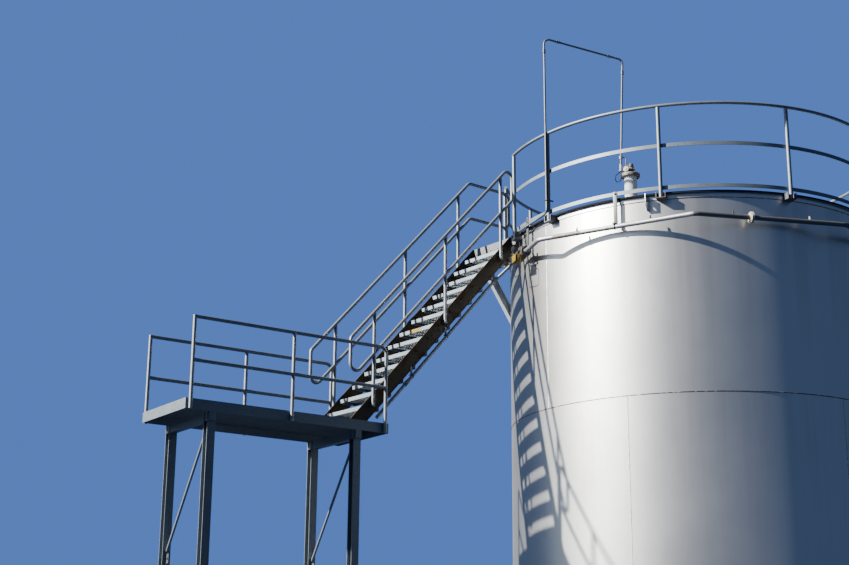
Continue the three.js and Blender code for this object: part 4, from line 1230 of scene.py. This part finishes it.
class TANK_OT_stringers(TankOperator, bpy.types.Operator):
    """Cuts the stringers and bolts the treads to them"""

    bl_idname = "tank.stringers"
    bl_label = "Stringers"

    def execute(self, context):
        top, ceiling, floor = SEAT - GOING, TANK_HEIGHT - 0.002, WALK_Z + SEAT
        below, above, outer = 0.250, 0.020, STAIR_WIDTH + STRINGER_THICKNESS
        foot = [(along_at(floor, rise), floor) for rise in (-below, above)]
        head = (along_at(ceiling, above), ceiling)
        outline = [(top, ceiling), (top, nosing(top) - below), *foot, head]
        for node, across in (("stair_stringer_far", 0.0), ("stair_stringer_near", outer)):
            plate = plate_of(outline, STRINGER_THICKNESS, 0.0012)
            there = STAIR @ shifted(0, across, 0) @ STAND
            finished(smooth(plate), node + "_plate", "rusty_steel", node, there)
        places = []
        for i in range(TREADS):
            for ahead in (-0.055, -0.185):
                for across, side in ((-STRINGER_THICKNESS, -1), (outer, 1)):
                    point = tread_top(i) + Vector((ahead, across, -0.020))
                    places.append(STAIR @ facing(point, (0, side, 0)))
        finished(copies(bolt(0.0095), places), "tread_bolts", "rusty_steel")
        return {"FINISHED"}


class TANK_OT_handrails(TankOperator, bpy.types.Operator):
    """Bends the stair's handrails and stands their posts on the stringers"""

    bl_idname = "tank.handrails"
    bl_label = "Handrails"

    def execute(self, context):
        sizes = context.scene.tank_sizes
        near_y = STAIR_WIDTH + STRINGER_THICKNESS + RAIL_TUBE + SEAT
        far_y = -STRINGER_THICKNESS - RAIL_TUBE - SEAT
        top, middle, far_top = 1.040, 0.515, 1.050
        bottom, head, far_bottom = 2.456, -0.190, 2.477
        near_loop = [(bottom, top), (head, top), (head, middle), (bottom, middle)]
        near_loop = [(x, near_y, nosing(x) + rise) for x, rise in near_loop]
        far_loop = [
            (far_bottom, far_y, nosing(far_bottom) + far_top),
            (along_at(LANDING_RAIL_Z, far_top), far_y, LANDING_RAIL_Z),
            (LANDING_RAIL_X, far_y, LANDING_RAIL_Z),
            (LANDING_RAIL_X, far_y, LANDING_MID_Z),
            (along_at(LANDING_MID_Z, middle), far_y, LANDING_MID_Z),
            (far_bottom, far_y, nosing(far_bottom) + middle),
        ]
        foot, head = TANK_HEIGHT - LANDING_FASCIA, LANDING_RAIL_Z
        post = rod((LANDING_POST_X, far_y, foot), (LANDING_POST_X, far_y, head), sizes.rail_tube)
        sides = (
            ("handrail_near", near_loop, near_y, NEAR_POSTS, [], 1, near_y - RAIL_TUBE),
            ("handrail_far", far_loop, far_y, FAR_POSTS, [post], -1, far_y + RAIL_TUBE - 0.008),
        )
        places, feet = [], []
        for node, loop, y, posts, more, side, foot_y in sides:
            parts = [tube(loop_of(loop, sizes.rail_bend), sizes.rail_tube), *more]
            for x in posts:
                foot = Vector((x, y, nosing(x) - 0.140))
                parts.append(rod(foot, (x, y, nosing(x) + top), sizes.rail_tube))
                for rise in (0.030, 0.105):
                    point = foot + Vector((0, side * sizes.rail_tube, rise))
                    places.append(STAIR @ facing(point, (0, side, 0)))
                low, half = nosing(x) - 0.155, 0.045
                feet.append((x - half, x + half, foot_y, foot_y + 0.008, low, low + 0.075))
            finished(parts, node + "_tube", "old_zinc", node, STAIR)
        finished(copies(bolt(0.010), places), "handrail_bolts", "dirty_zinc")
        feet = [block(*extent) for extent in feet]
        finished(feet, "handrail_feet", "rusty_steel", at=STAIR)
        return {"FINISHED"}


class TANK_OT_landing(TankOperator, bpy.types.Operator):
    """Builds the upper landing against the roof's edge"""

    bl_idname = "tank.landing"
    bl_label = "Upper landing"

    def execute(self, context):
        top, low, plate, angle = TANK_HEIGHT, TANK_HEIGHT - LANDING_FASCIA, 0.008, 0.045
        front, far, near = -GOING, -STRINGER_THICKNESS, LANDING_NEAR
        parts = [
            block(front - plate, front, far, near, low, top - 0.001),
            block(front - angle, front, far, near, low, low + 0.006),
        ]
        for y in (far, 0.030):
            start = self.back_edge(y)
            parts.append(block(start, front, y, y + plate, low, top - 0.001))
            parts.append(block(start, front, y, y + angle, low, low + 0.006))
        count = int((near - far) / context.scene.tank_sizes.grating_pitch)
        for i in range(count + 1):
            y = far + (near - far - 0.004) * i / count
            start = min(self.back_edge(y), front - 0.02)
            parts.append(block(start, front - plate, y, y + 0.004, top - 0.026, top, 0))
        rows = [y / 100 for y in range(int(far * 100), int(near * 100))]
        for i in range(1, 12):
            x, z = front - 0.05 * i, top - 0.008
            inside = [y for y in rows if along_to_circle(y, ROOF_EDGE) + 0.01 < x]
            if inside:
                parts.append(rod((x, inside[0], z), (x, inside[-1], z), 0.003, 6))
        finished(parts, "landing_grating", "worn_zinc", "upper_landing", STAIR)
        places = []
        for i in range(6):
            y = far + 0.06 + (near - far - 0.12) * i / 5
            places.append(STAIR @ facing((front, y, low + 0.030), (1, 0, 0)))
        finished(copies(bolt(0.008), places), "landing_bolts", "worn_zinc")
        dress(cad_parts["landing_strut"], "grey_paint")
        return {"FINISHED"}

    def back_edge(self, y):
        """Where the landing ends along the stair, just clear of the roof's edge"""
        return along_to_circle(y, ROOF_EDGE + SEAT) + 0.002


class TANK_OT_supply(TankOperator, bpy.types.Operator):
    """Bends the ring's supply pipe along the near stringer"""

    bl_idname = "tank.supply"
    bl_label = "Supply pipe"

    def execute(self, context):
        radius = RAIL_TUBE
        y = STAIR_WIDTH + STRINGER_THICKNESS + radius + SEAT
        high, joint, low = (Vector((x, y, nosing(x) - SUPPLY_BELOW)) for x in (0.150, 1.600, 2.050))
        valve_end = ring_point(VALVE_AZIMUTH, -VALVE_HALF - SEAT)
        elbow = valve_end - ring_direction(VALVE_AZIMUTH) * 0.120
        to_stair = STAIR.inverted()
        run = rounded([to_stair @ valve_end, to_stair @ elbow, high, low], SUPPLY_BEND)
        parts = [tube(run, radius)]
        slope = Vector((GOING, 0, -RISE)).normalized()
        tilt = Matrix((slope, (-slope.z, 0, slope.x), (0, -1, 0))).transposed().to_4x4()
        clamps = []
        for x in SUPPLY_HANGERS:
            axis = Vector((x, y, nosing(x) - SUPPLY_BELOW))
            foot, top, near = axis.z - 0.045, nosing(x) - 0.200, y - radius
            parts.append(block(x - 0.015, x + 0.015, near, near + 0.006, foot, top))
            clamps.append(Matrix.Translation(axis) @ tilt)
        finished(parts, "supply_tube", "old_zinc", "ring_supply_pipe", STAIR)
        clamps = copies(u_bolt(0.0245, 0.040, 0.0035), clamps)
        finished(clamps, "supply_clamps", "rusty_steel", at=STAIR)
        nut = rod(joint - slope * 0.028, joint + slope * 0.028, 0.030, 6, 0.002)
        collar = rod(joint - slope * 0.044, joint + slope * 0.044, 0.0265, 20, 0.002)
        finished([nut, collar], "supply_coupling", "dirty_zinc", at=STAIR)
        return {"FINISHED"}


class TANK_OT_walkway(TankOperator, bpy.types.Operator):
    """Builds the walkway's deck, rails and trestles"""

    bl_idname = "tank.walkway"
    bl_label = "Walkway"

    def execute(self, context):
        sizes = context.scene.tank_sizes
        self.deck(sizes.grating_pitch)
        self.rail("walkway_rail_near", 0.0, 0.0, sizes)
        self.rail("walkway_rail_far", -WALK_WIDTH, 0.06, sizes)
        for i, x in enumerate(TRESTLES_AT):
            self.trestle(f"walkway_trestle_{i + 1}", x)
        return {"FINISHED"}

    def deck(self, pitch):
        """The frame's four plates with a grating between them"""
        low, top, plate, start, end = WALK_Z - WALK_DEPTH, WALK_Z, 0.008, WALK_START, WALK_END
        near, far = -RAIL_TUBE - SEAT, -WALK_WIDTH + RAIL_TUBE + SEAT
        rod_z = top - 0.006
        parts = grating_frame(start, end, far, near, low, top, plate, count=12, rod_z=rod_z)
        first = start + pitch
        bar = block(first, first + 0.003, far, near, top - 0.031, top - 0.001, 0)
        parts.append(repeated(bar, int((end - start) / pitch) - 1, (pitch, 0, 0)))
        finished(parts, "walkway_grating", "zinc", "walkway_deck", WALK)

    def rail(self, node, y, start, sizes):
        """A rail whose top turns down at the stair to make the first post"""
        end, top, low = WALK_POSTS[-1], WALK_Z + WALK_TOP, WALK_Z - WALK_DEPTH
        middle, radius = WALK_Z + WALK_MIDDLE, sizes.rail_tube
        run = rounded([(end, y, top), (start, y, top), (start, y, low)], sizes.rail_bend)
        parts = [tube(run, radius), rod((start, y, middle), (end, y, middle), radius)]
        parts += [rod((x, y, low), (x, y, top + 0.015), radius) for x in WALK_POSTS]
        finished(parts, node + "_tube", "old_zinc", node, WALK)

    def trestle(self, node, x):
        """Two H-section legs on base plates, with a head, a tie and braces"""
        top, floor, head = WALK_Z - WALK_DEPTH - SEAT, 0.012, 0.1
        near, far = -0.100, 0.100 - WALK_WIDTH
        half, flange, web = 0.050, 0.042, 0.003
        base, anchor, gusset, knee = 0.11, 0.085, 0.12, 3.0
        quarter = [(half, half), (half, flange), (web, flange)]
        right = [*quarter, *[(a, -b) for a, b in reversed(quarter)]]
        section = [*right, *[(-a, b) for a, b in reversed(right)]]
        parts, anchors = [], []
        for y in (near, far):
            leg = plate_of(section, top, 0.001)
            parts.append(place(leg, shifted(x, y, 0)))
            parts.append(block(x - base, x + base, y - base, y + base, 0, floor, 0.0015))
            for ahead in (-anchor, anchor):
                anchors += [shifted(x + ahead, y + across, floor) for across in (-anchor, anchor)]
        parts.append(block(x - 0.04, x + 0.04, 0.022 - WALK_WIDTH, -0.022, top - head, top, 0.003))
        parts.append(block(x - 0.004, x + 0.004, far, near, *TRESTLE_TIE))
        tie_low, tie_high = TRESTLE_TIE
        upper = ((near, far, tie_high, knee), (far, near, knee, top - head))
        braces = ((far, near, 0.3, tie_low), *upper)
        for start, end, low, high in braces:
            parts.append(rod((x, start, low), (x, end, high), 0.016, 12))
            for y, z in ((start, low), (end, high)):
                inner = y + (gusset if y == far else -gusset)
                y0, y1 = sorted((y, inner))
                parts.append(block(x - 0.005, x + 0.005, y0, y1, z - 0.055, z + 0.055))
                for across in (0.45, 0.80):
                    point = (x + 0.005, y + (inner - y) * across, z)
                    anchors.append(facing(point, (1, 0, 0)))
        finished(parts, node + "_frame", "zinc", node, WALK)
        finished(copies(bolt(0.011), anchors), node + "_bolts", "dirty_zinc", at=WALK)


class TANK_OT_stage(TankOperator, bpy.types.Operator):
    """Sets the camera, the lights and the floor"""

    bl_idname = "tank.stage"
    bl_label = "Stage"

    def execute(self, context):
        start_clean()
        bpy.ops.object.camera_add(location=CAMERA_AT)
        camera = context.object
        camera.data.sensor_width = 36.0
        camera.data.lens = CAMERA_LENS
        camera.data.clip_end = 200
        tilt = Matrix.Rotation(math.radians(90 + CAMERA_TILT), 4, "X")
        camera.matrix_world = Matrix.Translation(CAMERA_AT) @ tilt @ turned_to(CAMERA_ROLL)
        context.scene.camera = camera
        size = {"vertices": 96, "radius": 90, "location": (0, 0, -0.002)}
        floor = primitive("circle", fill_type="NGON", **size)
        floor.name = "floor"
        dress(floor, "pale_floor")
        floor.visible_diffuse = floor.visible_glossy = False
        self.sun(SUN_STRENGTH, (1.0, 0.95, 0.88), spread=1.2)
        self.sun(HAZE_STRENGTH, (0.86, 0.93, 1.0), spread=70)
        self.sky(context)
        return {"FINISHED"}

    def sky(self, context):
        """A plain backdrop, with a dimmer light of its own colour on the tank"""
        world = context.scene.world or bpy.data.worlds.new("sky")
        context.scene.world = world
        world.use_nodes = True
        tree = world.node_tree
        background = tree.nodes["Background"]
        seen = add_node(tree, "ShaderNodeLightPath").outputs["Is Camera Ray"]
        tree.links.new(mix(tree, seen, SKY_LIGHT, BACKDROP), background.inputs["Color"])

    def sun(self, strength, colour, spread):
        """A light from the sun's side, whose spread in degrees softens its shadows"""
        start_clean()
        turn = Vector(SUN_FROM).to_track_quat("Z", "Y").to_euler()
        bpy.ops.object.light_add(type="SUN", rotation=turn)
        lamp = bpy.context.object.data
        lamp.energy = strength
        lamp.color = colour
        lamp.angle = math.radians(spread)


# Registration

PIECE_OPERATORS = TankOperator.__subclasses__()


class TANK_PT_panel(bpy.types.Panel):
    """Lists the tank's sizes, finishes and pieces"""

    bl_label = "Storage tank"
    bl_idname = "TANK_PT_panel"
    bl_space_type = "VIEW_3D"
    bl_region_type = "UI"
    bl_category = "Tank"

    def draw(self, context):
        for settings in (context.scene.tank_sizes, context.scene.tank_finishes):
            box = self.layout.box()
            for name in settings.__annotations__:
                box.prop(settings, name)
        for operator in PIECE_OPERATORS:
            self.layout.operator(operator.bl_idname)


CLASSES = (TankSizes, TankFinishes, *PIECE_OPERATORS, TANK_PT_panel)


def register():
    for each in CLASSES:
        bpy.utils.register_class(each)
    bpy.types.Scene.tank_sizes = PointerProperty(type=TankSizes)
    bpy.types.Scene.tank_finishes = PointerProperty(type=TankFinishes)


def unregister():
    del bpy.types.Scene.tank_finishes
    del bpy.types.Scene.tank_sizes
    for each in reversed(CLASSES):
        bpy.utils.unregister_class(each)


def main():
    """Registers the add-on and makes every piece."""
    register()
    for operator in PIECE_OPERATORS:
        category, name = operator.bl_idname.split(".")
        getattr(getattr(bpy.ops, category), name)()


if __name__ == "__main__":
    main()
